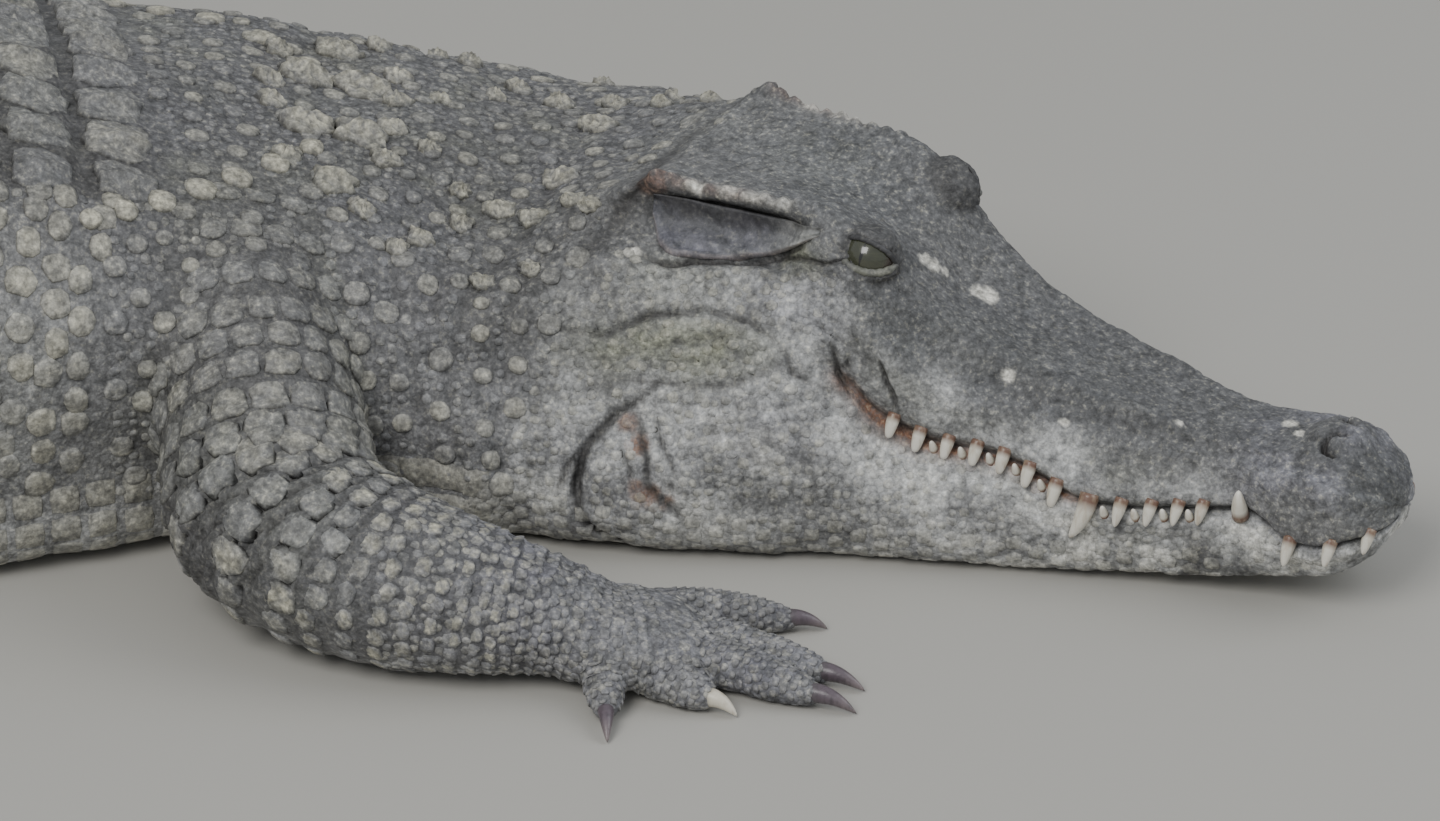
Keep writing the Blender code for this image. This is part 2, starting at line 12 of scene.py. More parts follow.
import bmesh
import bpy
import mathutils
import numpy as np
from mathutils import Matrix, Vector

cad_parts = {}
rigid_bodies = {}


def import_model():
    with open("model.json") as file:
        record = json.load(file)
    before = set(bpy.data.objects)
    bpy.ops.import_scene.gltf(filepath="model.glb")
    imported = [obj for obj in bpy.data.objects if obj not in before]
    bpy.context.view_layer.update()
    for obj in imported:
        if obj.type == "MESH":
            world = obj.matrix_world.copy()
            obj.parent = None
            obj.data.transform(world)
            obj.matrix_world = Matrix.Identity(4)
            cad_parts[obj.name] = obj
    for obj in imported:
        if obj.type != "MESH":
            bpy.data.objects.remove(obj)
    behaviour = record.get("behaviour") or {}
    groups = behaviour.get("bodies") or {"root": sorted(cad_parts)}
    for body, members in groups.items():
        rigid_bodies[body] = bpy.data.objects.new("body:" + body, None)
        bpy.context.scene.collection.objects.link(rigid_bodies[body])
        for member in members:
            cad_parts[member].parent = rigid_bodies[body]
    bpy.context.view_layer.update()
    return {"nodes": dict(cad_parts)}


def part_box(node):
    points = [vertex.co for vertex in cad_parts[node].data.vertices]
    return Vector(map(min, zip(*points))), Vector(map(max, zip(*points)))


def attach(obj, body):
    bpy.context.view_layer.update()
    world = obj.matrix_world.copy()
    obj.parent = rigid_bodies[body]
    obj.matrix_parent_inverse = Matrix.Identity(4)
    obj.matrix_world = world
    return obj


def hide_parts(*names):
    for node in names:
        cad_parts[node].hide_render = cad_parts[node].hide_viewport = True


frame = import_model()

# %% [markdown]
# ## The animal as eight lines on a spine
# A crocodile's body is one smooth tube whose cross-section changes along the way, so it could be sculpted,
# or lofted through rings. Here eight lines run from the snout to the tip of the tail: crown, ridge, temple,
# cheek, lip, jowl, base and keel. Each is a height and a half-width over the distance s along the spine, and
# a section at any s is a smooth curve through the eight. The same lines made the solids, so the skin fits.

# %% Driving sizes, in metres and degrees
LENGTH = 4.0
HEAD_END = 0.60
HEAD_TURN = -40.5
TAIL_SWING = (16.0, -10.0, -26.0)
WHORL = 0.056
SNOUT_ROUND = 0.045
EYE_RADIUS = 0.021
EYE_PLACE = (0.392, 0.0625, 0.2085)
CROWN_Z = ((0, .110), (.02, .117), (.05, .125), (.08, .119), (.12, .117), (.20, .128), (.27, .145),
           (.34, .170), (.38, .198), (.41, .214), (.47, .232), (.56, .238), (.62, .220), (.70, .212),
           (.80, .232), (.92, .264), (1.0, .284), (1.1, .314), (1.25, .342), (1.45, .354), (1.75, .346),
           (2.02, .312), (2.3, .245), (2.6, .215), (3.0, .182), (3.5, .135), (4.0, .05))
RIDGE_Y = ((0, .022), (.05, .030), (.12, .031), (.20, .040), (.30, .052), (.36, .063), (.405, .065),
           (.45, .071), (.56, .085), (.62, .095), (.70, .105), (.90, .132), (1.2, .148), (1.5, .150),
           (1.8, .132), (2.1, .098), (2.5, .066), (3.0, .024), (4.0, .006))
RIDGE_Z = ((0, .107), (.05, .120), (.12, .114), (.20, .126), (.30, .152), (.36, .188), (.40, .231),
           (.45, .239), (.56, .243), (.60, .226), (.70, .200), (.80, .220), (.90, .248), (1.0, .270),
           (1.25, .324), (1.45, .336), (1.8, .330), (2.02, .302), (2.3, .238), (2.6, .208), (3.0, .176),
           (3.5, .128), (4.0, .046))
CHEEK_Y = ((0, .046), (.05, .053), (.12, .045), (.20, .065), (.30, .085), (.36, .099), (.405, .095),
           (.45, .104), (.50, .112), (.56, .132), (.65, .185), (.80, .205), (.90, .213), (1.15, .232),
           (1.45, .243), (1.75, .218), (2.0, .168), (2.3, .122), (2.6, .088), (3.0, .040), (3.5, .020),
           (4.0, .007))
CHEEK_Z = ((0, .095), (.05, .101), (.12, .099), (.20, .101), (.30, .119), (.36, .149), (.405, .184),
           (.45, .188), (.50, .192), (.56, .193), (.65, .178), (.80, .190), (.90, .210), (1.2, .265),
           (1.8, .268), (2.1, .215), (2.5, .165), (3.0, .130), (3.5, .095), (4.0, .038))
LIP_Y = ((0, .050), (.03, .057), (.06, .056), (.10, .050), (.15, .066), (.205, .083), (.275, .085),
         (.325, .097), (.367, .108), (.385, .114), (.43, .129), (.56, .172), (.65, .212), (.75, .232),
         (.90, .245), (1.15, .278), (1.45, .292), (1.75, .262), (2.0, .206), (2.3, .152), (2.6, .110),
         (3.0, .058), (3.5, .030), (4.0, .008))
LIP_Z = ((0, .062), (.02, .063), (.034, .0600), (.05, .0555), (.064, .0550), (.08, .0615), (.095, .0685),
         (.104, .0715), (.115, .0690), (.13, .0680), (.15, .0668), (.175, .065), (.205, .065), (.275, .086),
         (.325, .092), (.367, .112), (.385, .134), (.43, .155), (.56, .150), (.65, .140), (.90, .170),
         (1.2, .185), (1.8, .180), (2.1, .140), (2.5, .108), (3.0, .085), (3.5, .062), (4.0, .028))
JOWL_Y = ((0, .045), (.10, .057), (.20, .084), (.30, .118), (.385, .151), (.435, .178), (.51, .212),
          (.60, .240), (.68, .256), (.80, .250), (.90, .247), (1.15, .270), (1.45, .280), (1.75, .248),
          (2.0, .192), (2.3, .138), (2.6, .099), (3.0, .052), (3.5, .026), (4.0, .008))
JOWL_Z = ((0, .046), (.05, .040), (.10, .046), (.20, .043), (.30, .046), (.385, .056), (.435, .060),
          (.51, .066), (.60, .076), (.80, .085), (1.8, .080), (2.1, .065), (2.5, .050), (3.0, .040),
          (3.5, .030), (4.0, .014))
BASE_Y = ((0, .034), (.10, .048), (.20, .072), (.30, .104), (.385, .132), (.435, .157), (.51, .187),
          (.60, .212), (.70, .228), (.90, .212), (1.15, .234), (1.45, .242), (1.75, .206), (2.0, .148),
          (2.3, .098), (2.6, .062), (3.0, .032), (3.5, .018), (4.0, .006))
BASE_Z = ((0, .038), (.06, .024), (.13, .012), (.22, .004), (.30, .001), (.36, 0), (4.0, 0))
TEMPLE_OUT = ((0, 0), (.34, .002), (.375, .008), (.395, .014), (.42, .008), (.445, -.004), (.48, -.012),
              (.54, -.014), (.60, -.002), (.70, .006), (1.2, .012), (2.0, .010), (2.6, .004), (4.0, 0))
LIP_LINE, KEEL_LINE = 4.0, 7.0
NOSE_MIDDLE = 0.078
SPINE_COUNT = 4001


def curve(s, points):
    """Monotone cubic through (s, value) points: Hermite pieces whose slopes are the weighted harmonic means
    of the neighbouring rises, and zero at a peak, so that the curve never overshoots a value."""
    x, y = np.array(points, float).T
    step = np.diff(x)
    rise = np.diff(y) / step
    slope = np.concatenate([rise[:1], np.zeros(len(x) - 2), rise[-1:]])
    same = rise[:-1] * rise[1:] > 0
    early = 2 * step[1:] + step[:-1]
    late = step[1:] + 2 * step[:-1]
    safe = np.where(same[:, None], np.stack([rise[:-1], rise[1:]], 1), 1.0)
    slope[1:-1] = np.where(same, (early + late) / (early / safe[:, 0] + late / safe[:, 1]), 0.0)
    s = np.clip(np.asarray(s, float), x[0], x[-1])
    i = np.clip(np.searchsorted(x, s, side="right") - 1, 0, len(x) - 2)
    t = (s - x[i]) / step[i]
    start = (2 * t ** 3 - 3 * t ** 2 + 1) * y[i] + (t ** 3 - 2 * t ** 2 + t) * step[i] * slope[i]
    return start + (3 * t ** 2 - 2 * t ** 3) * y[i + 1] + (t ** 3 - t ** 2) * step[i] * slope[i + 1]


# %% The spine, and a table of the eight lines at every millimetre
SPINE_S = np.linspace(0, LENGTH, SPINE_COUNT)
SPINE_STEP = SPINE_S[1] - SPINE_S[0]
TURNS = ((0, HEAD_TURN), (.575, HEAD_TURN), (.64, HEAD_TURN + 9), (.82, -11), (1.0, 0), (1.95, 0),
         (2.5, TAIL_SWING[0]), (3.2, TAIL_SWING[1]), (LENGTH, TAIL_SWING[2]))
SPINE_TURN = np.radians(curve(SPINE_S, TURNS))
between = (SPINE_TURN[1:] + SPINE_TURN[:-1]) / 2
SPINE_X = -np.concatenate([[0], np.cumsum(np.cos(between) * SPINE_STEP)])
SPINE_Y = -np.concatenate([[0], np.cumsum(np.sin(between) * SPINE_STEP)])


def line_table():
    """Half-widths and heights of the eight lines over the spine, with a mirrored line added at each end.
    The nose is round: near the tip every line shrinks towards the nose's middle as a rounded profile."""
    ridge = curve(SPINE_S, RIDGE_Y), curve(SPINE_S, RIDGE_Z)
    cheek = curve(SPINE_S, CHEEK_Y), curve(SPINE_S, CHEEK_Z)
    out = curve(SPINE_S, TEMPLE_OUT)
    temple = (ridge[0] + cheek[0]) / 2 + 0.85 * out, (ridge[1] + cheek[1]) / 2 + 0.5 * out
    zero = np.zeros_like(SPINE_S)
    base = curve(SPINE_S, BASE_Z)
    lip, jowl = curve(SPINE_S, LIP_Y), curve(SPINE_S, JOWL_Y)
    wide = np.array([zero, ridge[0], temple[0], cheek[0], lip, jowl, curve(SPINE_S, BASE_Y), zero])
    high = np.array([curve(SPINE_S, CROWN_Z), ridge[1], temple[1], cheek[1],
                     curve(SPINE_S, LIP_Z), curve(SPINE_S, JOWL_Z), base, base])
    full = np.sqrt(1 - (1 - np.clip(SPINE_S / SNOUT_ROUND, 0, 1)) ** 2) ** 0.8
    wide, high = wide * full, NOSE_MIDDLE + (high - NOSE_MIDDLE) * full
    return (np.concatenate([-wide[1:2], wide, -wide[-2:-1]]),
            np.concatenate([high[1:2], high, high[-2:-1]]))


WIDE, HIGH = line_table()


def outline(s, v):
    """Half-width and height of the body at distance s and line number v (0 crown .. 7 keel), one shape each.
    Between two lines it is the Catmull-Rom cubic through the four nearest ones."""
    at = np.clip(s / SPINE_STEP, 0, len(SPINE_S) - 1.001)
    i = at.astype(int)
    f = at - i
    k = np.clip(np.floor(v).astype(int), 0, 6)
    t = v - k

    def through(table):
        a, b, c, d = (table[k + j, i] * (1 - f) + table[k + j, i + 1] * f for j in range(4))
        return b + 0.5 * t * (c - a + t * (2 * a - 5 * b + 4 * c - d + t * (3 * (b - c) + d - a)))

    return through(WIDE), np.maximum(through(HIGH), 0)


def spine_at(s):
    """The spine's x, y and heading at a distance along it."""
    return [np.interp(s, SPINE_S, values) for values in (SPINE_X, SPINE_Y, SPINE_TURN)]


def place(s, y, z):
    """World points from the distance along the spine, the distance to the animal's left and the height."""
    x0, y0, turn = spine_at(s)
    return np.stack([x0 - np.sin(turn) * y, y0 + np.cos(turn) * y, z], -1) + SHIFT


# %% [markdown]
# The frame's origin is in the middle of the box, and the lines start at the snout. The right eye is a ball
# at a known place on the head, so the difference between its two places is the shift from one to the other.

# %% From the snout's frame to the model's frame
SHIFT = np.zeros(3)
low, high = np.array(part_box("eye_right"))
SHIFT = (low + high) / 2 - place(EYE_PLACE[0], -EYE_PLACE[1], EYE_PLACE[2])
TRUNK_Y = float(spine_at(1.5)[1])
print("shift", SHIFT.round(5).tolist())


def body_point(s, w):
    """The body's smooth surface: w is the line number, negative on the right and positive on the left."""
    y, z = outline(s, np.abs(w))
    return place(s, np.sign(w) * y, z)


def unit(vectors):
    """Vectors made one long."""
    return vectors / np.maximum(np.linalg.norm(vectors, axis=-1, keepdims=True), 1e-12)


def body_frame(s, w):
    """Point, unit step tailward and outward normal of the smooth body."""
    ds, dw = 0.003, 0.04
    along = body_point(np.minimum(s + ds, LENGTH), w) - body_point(np.maximum(s - ds, 0.0), w)
    around = body_point(s, np.minimum(w + dw, KEEL_LINE)) - body_point(s, np.maximum(w - dw, -KEEL_LINE))
    return body_point(s, w), unit(along), unit(np.cross(around, along))


# %% [markdown]
# ## Noise and cracks
# Hide is never even: it needs lumps of several sizes, and a net of fine cracks. Both come from a lattice of
# random numbers. Lumps blend the numbers at the eight corners round a point; cracks scatter one seed in each
# lattice box and measure how much nearer the nearest seed is than the second nearest.

# %% Lumps and cracks from a lattice
def lattice(cells, salt):
    """A repeatable random number from 0 to 1 for each integer box: the far digits of a sine."""
    mixed = cells @ np.array([127.1, 311.7, 74.7]) + 37.3 * salt
    return np.mod(np.sin(mixed) * 43758.5453, 1.0)


def lumps(points, size, salt=0):
    """Smooth noise from -1 to 1, with lumps about size across: eight corners blended by smooth steps."""
    q = points / size
    low = np.floor(q)
    t = q - low
    t = t * t * (3 - 2 * t)
    total = 0.0
    for corner in np.ndindex(2, 2, 2):
        weight = np.prod(np.where(np.array(corner) == 1, t, 1 - t), axis=-1)
        total = total + weight * lattice(low + corner, salt)
    return 2 * total - 1


def cracks(points, size, salt=0):
    """How deep each point is in its cell, 0 on the crack to 1 in the middle, and the cell's number."""
    q = points / size
    low = np.floor(q)
    nearest = np.full(q.shape[:-1], 9.0)
    second = np.full(q.shape[:-1], 9.0)
    number = np.zeros(q.shape[:-1])
    for step in np.ndindex(3, 3, 3):
        cell = low + np.array(step) - 1
        seed = cell + np.stack([lattice(cell, salt + k) for k in (1, 2, 3)], -1) * 0.8 + 0.1
        far = np.linalg.norm(seed - q, axis=-1)
        closer = far < nearest
        second = np.where(closer, nearest, np.minimum(second, far))
        number = np.where(closer, lattice(cell, salt + 4), number)
        nearest = np.where(closer, far, nearest)
    return np.clip((second - nearest) * 1.6, 0, 1), number


def hill(x, middle, half):
    """A round hill: exp(-((x - middle) / half) squared)."""
    return np.exp(-((x - middle) / half) ** 2)


def ramp(x, start, end):
    """A smooth step from 0 at start to 1 at end."""
    t = np.clip((x - start) / (end - start), 0, 1)
    return t * t * (3 - 2 * t)


def fall(x, start, end):
    """A smooth step from 1 at start to 0 at end."""
    return 1 - ramp(x, start, end)


def band(x, foot, top, edge, end):
    """A plateau of 1: up from foot to top, and down from edge to end."""
    return ramp(x, foot, top) * fall(x, edge, end)


# %% [markdown]
# ## Folds
# Old folds and creases run where the hide bends: round the corner of the mouth, behind the jaw, across the
# nape. Each is a short path on the body, given as (s, w) places. A point's depth in the fold falls off with
# its distance from the path, the same in every direction, so the folds can cross and fade.

# %% The creases, as paths on the body: places, depth and half-width in metres
CREASES = (
    # the lens-shaped fold behind the mouth, and its tail towards the jaw's corner
    (((.590, -3.86), (.553, -3.97), (.53, -3.74), (.49, -3.64), (.455, -3.72), (.432, -3.98)), .0040, .0022),
    (((.585, -4.12), (.55, -4.16), (.515, -4.03), (.480, -3.93), (.455, -3.92)), .0026, .0018),
    (((.432, -3.98), (.418, -4.18), (.402, -4.22), (.384, -4.14)), .003, .0026),
    (((.56, -4.42), (.53, -4.30), (.49, -4.33), (.455, -4.30), (.43, -4.16)), .003, .0024),
    (((.52, -4.20), (.500, -4.15), (.475, -4.14), (.455, -4.08)), .0018, .0016),
    # round the back of the jaw
    (((.508, -4.36), (.527, -4.50), (.541, -4.78), (.546, -5.10), (.541, -5.45), (.52, -5.8)), .0075, .0030),
    (((.520, -4.42), (.536, -4.66), (.552, -4.95), (.558, -5.3)), .0040, .0022),
    (((.512, -4.55), (.500, -4.80), (.497, -5.06), (.484, -5.16), (.474, -5.32)), .0050, .0026),
    (((.520, -4.74), (.508, -4.92), (.506, -5.14)), .0036, .0020),
    (((.505, -4.40), (.498, -4.60), (.486, -4.78), (.478, -4.92)), .0030, .0020),
    (((.490, -4.98), (.476, -5.02), (.468, -5.10)), .0030, .0018),
    # scars above and below the corner of the mouth
    (((.398, -3.74), (.392, -3.86), (.388, -3.98), (.380, -4.06)), .0050, .0020),
    (((.386, -3.66), (.384, -3.82), (.392, -3.94)), .0040, .0017),
    (((.366, -3.22), (.360, -3.42), (.352, -3.62), (.350, -3.74)), .0050, .0016),
    (((.410, -3.55), (.395, -3.62), (.375, -3.50)), .002, .0018),
    (((.430, -4.61), (.412, -4.68), (.392, -4.66)), .0030, .0018),
    (((.446, -4.50), (.430, -4.54), (.420, -4.50)), .0030, .0022),
    (((.452, -4.55), (.436, -4.72), (.418, -4.80)), .0025, .0018),
    # wrinkles along the jaw and the cheek
    (((.470, -4.70), (.440, -4.86), (.405, -4.95), (.37, -4.90)), .0014, .0016),
    (((.465, -4.95), (.43, -5.10), (.39, -5.14), (.34, -5.08)), .0016, .0018),
    (((.36, -4.62), (.33, -4.72), (.29, -4.74), (.25, -4.66)), .0012, .0016),
    (((.425, -3.10), (.41, -3.30), (.39, -3.40), (.37, -3.34)), .0012, .0016),
    # the ear's slit, which runs on to the eye
    (((.436, -1.95), (.455, -2.22), (.48, -2.57), (.505, -2.79), (.53, -2.92), (.552, -2.75)), .0060, .0024),
    (((.466, -2.36), (.448, -2.24), (.430, -2.20), (.414, -2.20), (.404, -2.08)), .0050, .0022),
    (((.376, -1.52), (.368, -1.24), (.362, -.98), (.361, -.80)), .0026, .0020),
    # behind the skull, round the neck and in front of the shoulder
    (((.575, .9), (.585, 0), (.572, -.9), (.566, -1.35), (.582, -2.1), (.6, -2.9), (.598, -3.4)),
     .0032, .009),
    (((.622, -1.2), (.640, -2.2), (.650, -3.2), (.640, -4.2), (.615, -5.2)), .005, .006),
    (((.66, 1.5), (.672, 0), (.668, -1.5), (.70, -2.8), (.71, -4.2), (.69, -5.4)), .005, .008),
    (((.72, .9), (.735, 0), (.733, -1.4), (.742, -2.8), (.74, -4.2), (.715, -5.4)), .004, .007),
    (((.79, -1.7), (.792, -2.6), (.778, -3.5), (.755, -4.4), (.735, -5.3)), .005, .008),
    (((.862, -1.6), (.872, -2.2), (.862, -2.9), (.838, -3.6)), .009, .008),
)


def crease_depth(points, share=1.0):
    """Depth of all the creases at each point, from its distance to each path measured along the surface;
    paths on the left are mirror images."""
    deep = np.zeros(len(points))
    strength = 1 + .45 * lumps(points, .022, 14)
    points = points + .0022 * np.stack([lumps(points, .016, salt) for salt in (15, 16, 17)], -1)
    for path, depth, half in CREASES:
        for side in (1, -1):
            s, w = np.array(path).T
            t = np.linspace(0, len(s) - 1, 16 * len(s))
            s, w = np.interp(t, np.arange(len(s)), s), np.interp(t, np.arange(len(w)), w)
            if side < 0 and w.max() > 0:
                continue
            line, along, normal = body_frame(s, side * w)
            taper = np.sin(np.pi * np.linspace(0.06, 0.94, len(line))) ** 0.5
            near = np.nonzero((abs(points - line.mean(0)) < np.ptp(line, axis=0) / 2 + 0.06).all(-1))[0]
            gap = points[near, None] - line[None]
            over = (gap * normal[None]).sum(-1)
            gap = np.sqrt(np.maximum((gap ** 2).sum(-1) - over ** 2, 0)) + 9 * (np.abs(over) > .03)
            dip = (taper * np.exp(-(gap / (half * share)) ** 1.5)).max(-1)
            deep[near] = np.maximum(deep[near], depth * dip)
    return deep * strength


# %% [markdown]
# ## The relief of the hide
# The lines give the big form. The relief is what a hand would feel on top of it: the groove of the mouth,
# the bulge over each tooth, the ridges from the eyes to the nose, the beaded edge of the skull, the
# nostrils, the hollow for the ear, loose folds on the neck and a pebbly surface. It is a height in metres
# along the normal, worked out at any place, so that the scales which come later sit on the same relief.

# %% Teeth and coat depths, then the relief
UPPER_TEETH = (.012, .034, .064, .130, .146, .164, .184, .207, .232, .253, .273, .293, .313, .333, .352)
COAT_DEPTH = ((0, .0006), (.35, .0008), (.55, .0014), (.70, .0028), (.95, .0040), (2.0, .0045), (3.2, .0030),
              (4.0, .0012))
# the hollow for the ear: depth, line number, its half-width, and the s of the band's four corners
EAR_HOLLOW = ((.0085, 1.62, .26, (.428, .455, .545, .565)), (.0040, 2.1, .45, (.435, .46, .535, .56)),
              (.0040, 2.50, .10, (.43, .45, .52, .54)))


def nostril(s, v):
    """1 in the slit of a nostril, and 0 away from it: the rear half of a ring round the nostril's middle."""
    ring = np.hypot((s - .046) / .010, (v - .60) / .33)
    return hill(ring, 1.0, .24) * ramp(s, .040, .050) * (v > .2)


def relief(s, w, points):
    """Height of the hide over the smooth body: a sum of hills and ramps over the line number and over s."""
    v = np.abs(w)
    head, mouth = fall(s, .56, .64), fall(s, .385, .43)
    height = -.0065 * hill(v, LIP_LINE, .085) * mouth
    height += (.0022 * hill(v, 3.72, .20) - .0025 * hill(v, 4.22, .16)) * mouth
    tooth = sum(hill(s, at, .0065) for at in UPPER_TEETH[3:])
    height += .0022 * (tooth - .4) * hill(v, 3.60, .32) * mouth * ramp(s, .11, .13)
    height += .0028 * (.5 - tooth) * hill(v, 4.36, .20) * mouth
    # the ridges from the eyes to the nose, and the beaded edge of the skull
    height += .0040 * hill(v, .98, .26) * band(s, .12, .20, .33, .37) * (.7 + .6 * lumps(points, .022, 3))
    height += .0030 * hill(v, 0.0, .30) * band(s, .20, .26, .36, .40) * lumps(points, .03, 4)
    beads = .5 + .5 * np.cos(2 * np.pi * (s - .555) / .0135 + 1.5 * lumps(points, .02, 12))
    edge = band(s, .425, .44, .562, .575)
    height += (.0020 + .0040 * beads) * hill(v, 1.04, .15) * edge
    height += .0065 * hill(v, 1.08, .20) * hill(s, .553, .011)
    height += .0016 * lumps(points, .014, 13) * hill(v, .9, .4) * edge
    height += .0030 * lumps(points, .017, 19) * hill(s, .585, .035) * fall(v, 1.6, 2.6)
    for depth, line, half, corners in EAR_HOLLOW:
        height -= depth * hill(v, line, half) * band(s, *corners)
    height += .0050 * hill(v, 2.20, .40) * hill(s, .437, .016)
    height += .0030 * hill(v, 3.0, .40) * hill(s, .41, .05) + .0045 * hill(v, 1.0, .35) * hill(s, .428, .020)
    nose = np.hypot((s - .050) / .026, (v * .030) / .024)
    height += .0050 * fall(nose, .55, 1.15) - .0080 * nostril(s, v)
    # folds of loose hide, and pebbles of several sizes
    height += ramp(v, 4.2, 4.8) * ramp(s, .10, .2) * head * .0016 * lumps(points, .028, 5)
    folds = .0055 * lumps(points * (1, 1, .6), .075, 6) + .0022 * lumps(points, .028, 7)
    height += band(s, .56, .66, 1.0, 1.25) * folds
    height += .0040 * lumps(points * (1, 1, .5), .11, 8) * band(s, .95, 1.1, 1.9, 2.3)
    height += .0007 * lumps(points, .011, 9) * fall(s, 1.3, 1.6)
    # the back is cut by grooves between the cross rows of shields, the tail between its whorls
    row = ((s - HEAD_END) / WHORL) % 1.0
    groove = hill(np.minimum(row, 1 - row), 0, .10)
    height -= .0040 * groove * ramp(s, .98, 1.05) * fall(v, 1.7, 2.6)
    height -= .0035 * groove * ramp(s, 1.95, 2.1) * fall(v, 6.0, 6.8)
    return height


def cracked(s, w, points):
    """Fine cells on the head's hide: flat plates on the snout, smaller and rounder on the cheek and jaw."""
    v = np.abs(w)
    deep, number = cracks(points, .0125, 11)
    plates = (np.minimum(deep, .35) / .35 - 1) * .0010 + .0006 * (number - .5)
    small, shade = cracks(points, .0075, 21)
    pebbles = (small ** .6 - 1) * .0010 + .0006 * (shade - .5)
    jaw = ramp(v, 2.6, 3.4)
    return fall(s, .60, .68) * ((1 - jaw) * plates + jaw * pebbles)


# %% [markdown]
# ## The tube of the body
# The head, neck, trunk and tail are one grid of points: rings of w at stations of s, closed by one point at
# the nose and one at the tail. Rings are close together on the head, where the eye rests, and the right side
# has more of them than the left because more of it is seen from near. Near each eye the grid is drawn on to
# the eyeball: outside the opening of the lids it lies on the ball, and inside it dips behind the ball.

# %% Helpers that put arrays into meshes
def make_piece(name, points, faces, smooth=True):
    """An object at the origin from an array of points and an array of triangles or quads."""
    mesh = bpy.data.meshes.new(name)
    mesh.vertices.add(len(points))
    mesh.vertices.foreach_set("co", np.asarray(points, np.float32).ravel())
    size = faces.shape[1]
    mesh.loops.add(faces.size)
    mesh.loops.foreach_set("vertex_index", faces.astype(np.int32).ravel())
    mesh.polygons.add(len(faces))
    mesh.polygons.foreach_set("loop_start", np.arange(0, faces.size, size, dtype=np.int32))
    mesh.update(calc_edges=True)
    mesh.validate()
    if smooth:
        mesh.shade_smooth()
    piece = bpy.data.objects.new(name, mesh)
    bpy.context.scene.collection.objects.link(piece)
    return piece


def fetch(items, key, width, kind=np.int32):
    """One property of all the items of a mesh, as an array of so many columns."""
    flat = np.empty(len(items) * width, kind)
    items.foreach_get(key, flat)
    return flat.reshape(-1, width)


def read_points(mesh):
    """The vertices of a mesh as an array."""
    return fetch(mesh.vertices, "co", 3, np.float32).astype(float)


def write_points(mesh, points):
    """Move the vertices of a mesh to an array of points."""
    mesh.vertices.foreach_set("co", points.astype(np.float32).ravel())


def evaluated(piece):
    """A new mesh of an object as its modifiers leave it."""
    return bpy.data.meshes.new_from_object(piece.evaluated_get(bpy.context.evaluated_depsgraph_get()))


def paint(piece, name, values):
    """Store four numbers for each point of a piece as a colour attribute."""
    layer = piece.data.color_attributes.new(name, "FLOAT_COLOR", "POINT")
    layer.data.foreach_set("color", np.ascontiguousarray(values, np.float32).ravel())


def circle(sides):
    """Angles of evenly spaced points on a circle."""
    return 2 * np.pi * np.arange(sides) / sides


def grid_faces(rows, columns, wrap_rows=False):
    """Triangles of a grid whose columns close on themselves, and its rows too if asked."""
    i, j = np.meshgrid(np.arange(rows if wrap_rows else rows - 1), np.arange(columns), indexing="ij")
    a, b = i * columns + j, i * columns + (j + 1) % columns
    c, d = (i + 1) % rows * columns + (j + 1) % columns, (i + 1) % rows * columns + j
    return np.concatenate([np.stack(corners, -1).reshape(-1, 3) for corners in ((a, b, c), (a, c, d))])


def tube_faces(rings, sides):
    """Triangles of a tube of rings, its ends closed by fans to the two points that follow the rings."""
    ring = np.arange(sides)
    after = (ring + 1) % sides
    first = np.stack([after, ring, np.full(sides, rings * sides)], -1)
    last_ring = (rings - 1) * sides
    last = np.stack([last_ring + ring, last_ring + after, np.full(sides, rings * sides + 1)], -1)
    return np.concatenate([grid_faces(rings, sides), first, last])


def outward(points, faces):
    """The same faces, turned over where the closed shape's signed volume shows that they point inwards."""
    a, b, c = (points[faces[:, k]] for k in range(3))
    volume = (a * np.cross(b, c)).sum()
    return faces if volume > 0 else faces[:, ::-1]


def joined(parts):
    """The points and the faces of several closed shapes as one shape, all faces turned outward."""
    starts = np.cumsum([0] + [len(points) for points, faces in parts])
    faces = [outward(points, faces) + start for (points, faces), start in zip(parts, starts)]
    return np.concatenate([points for points, faces in parts]), np.concatenate(faces)


def repeated(shape, faces):
    """The points and the faces of an array of (shapes, points, 3) whose shapes all have the same faces."""
    starts = shape.shape[1] * np.arange(len(shape))
    return shape.reshape(-1, 3), (faces[None] + starts[:, None, None]).reshape(-1, 3)


# %% Where each eye looks
HEADING = math.radians(HEAD_TURN)
FORWARD = np.array([math.cos(HEADING), math.sin(HEADING), 0])
LEFTWARD = np.array([-FORWARD[1], FORWARD[0], 0])
UPWARD = np.array([0, 0, 1])
EYES = {}
for side, word in ((-1, "right"), (1, "left")):
    centre = place(EYE_PLACE[0], side * EYE_PLACE[1], EYE_PLACE[2])
    gaze = unit(side * LEFTWARD + 0.10 * FORWARD + 0.50 * UPWARD)
    ahead = unit(FORWARD - (FORWARD @ gaze) * gaze)
    ahead = unit(ahead - 0.10 * UPWARD)
    ahead = unit(ahead - (ahead @ gaze) * gaze)
    above = np.cross(gaze, ahead) * (1 if np.cross(gaze, ahead)[2] > 0 else -1)
    EYES[word] = (centre, gaze, ahead, above)
LID_HALF_LENGTH, LID_RISE, LID_FALL = (math.radians(angle) for angle in (77, 28, 31))


def lid_line(across):
    """Angles of the lids' edges above the gaze, upper then lower; across is -1 behind to 1 in front."""
    arch = np.clip(1 - np.abs(across) ** 2.2, 0, 1) ** 0.9
    return LID_RISE * arch * (1 - 0.15 * across), -LID_FALL * arch * (1 + 0.10 * across)


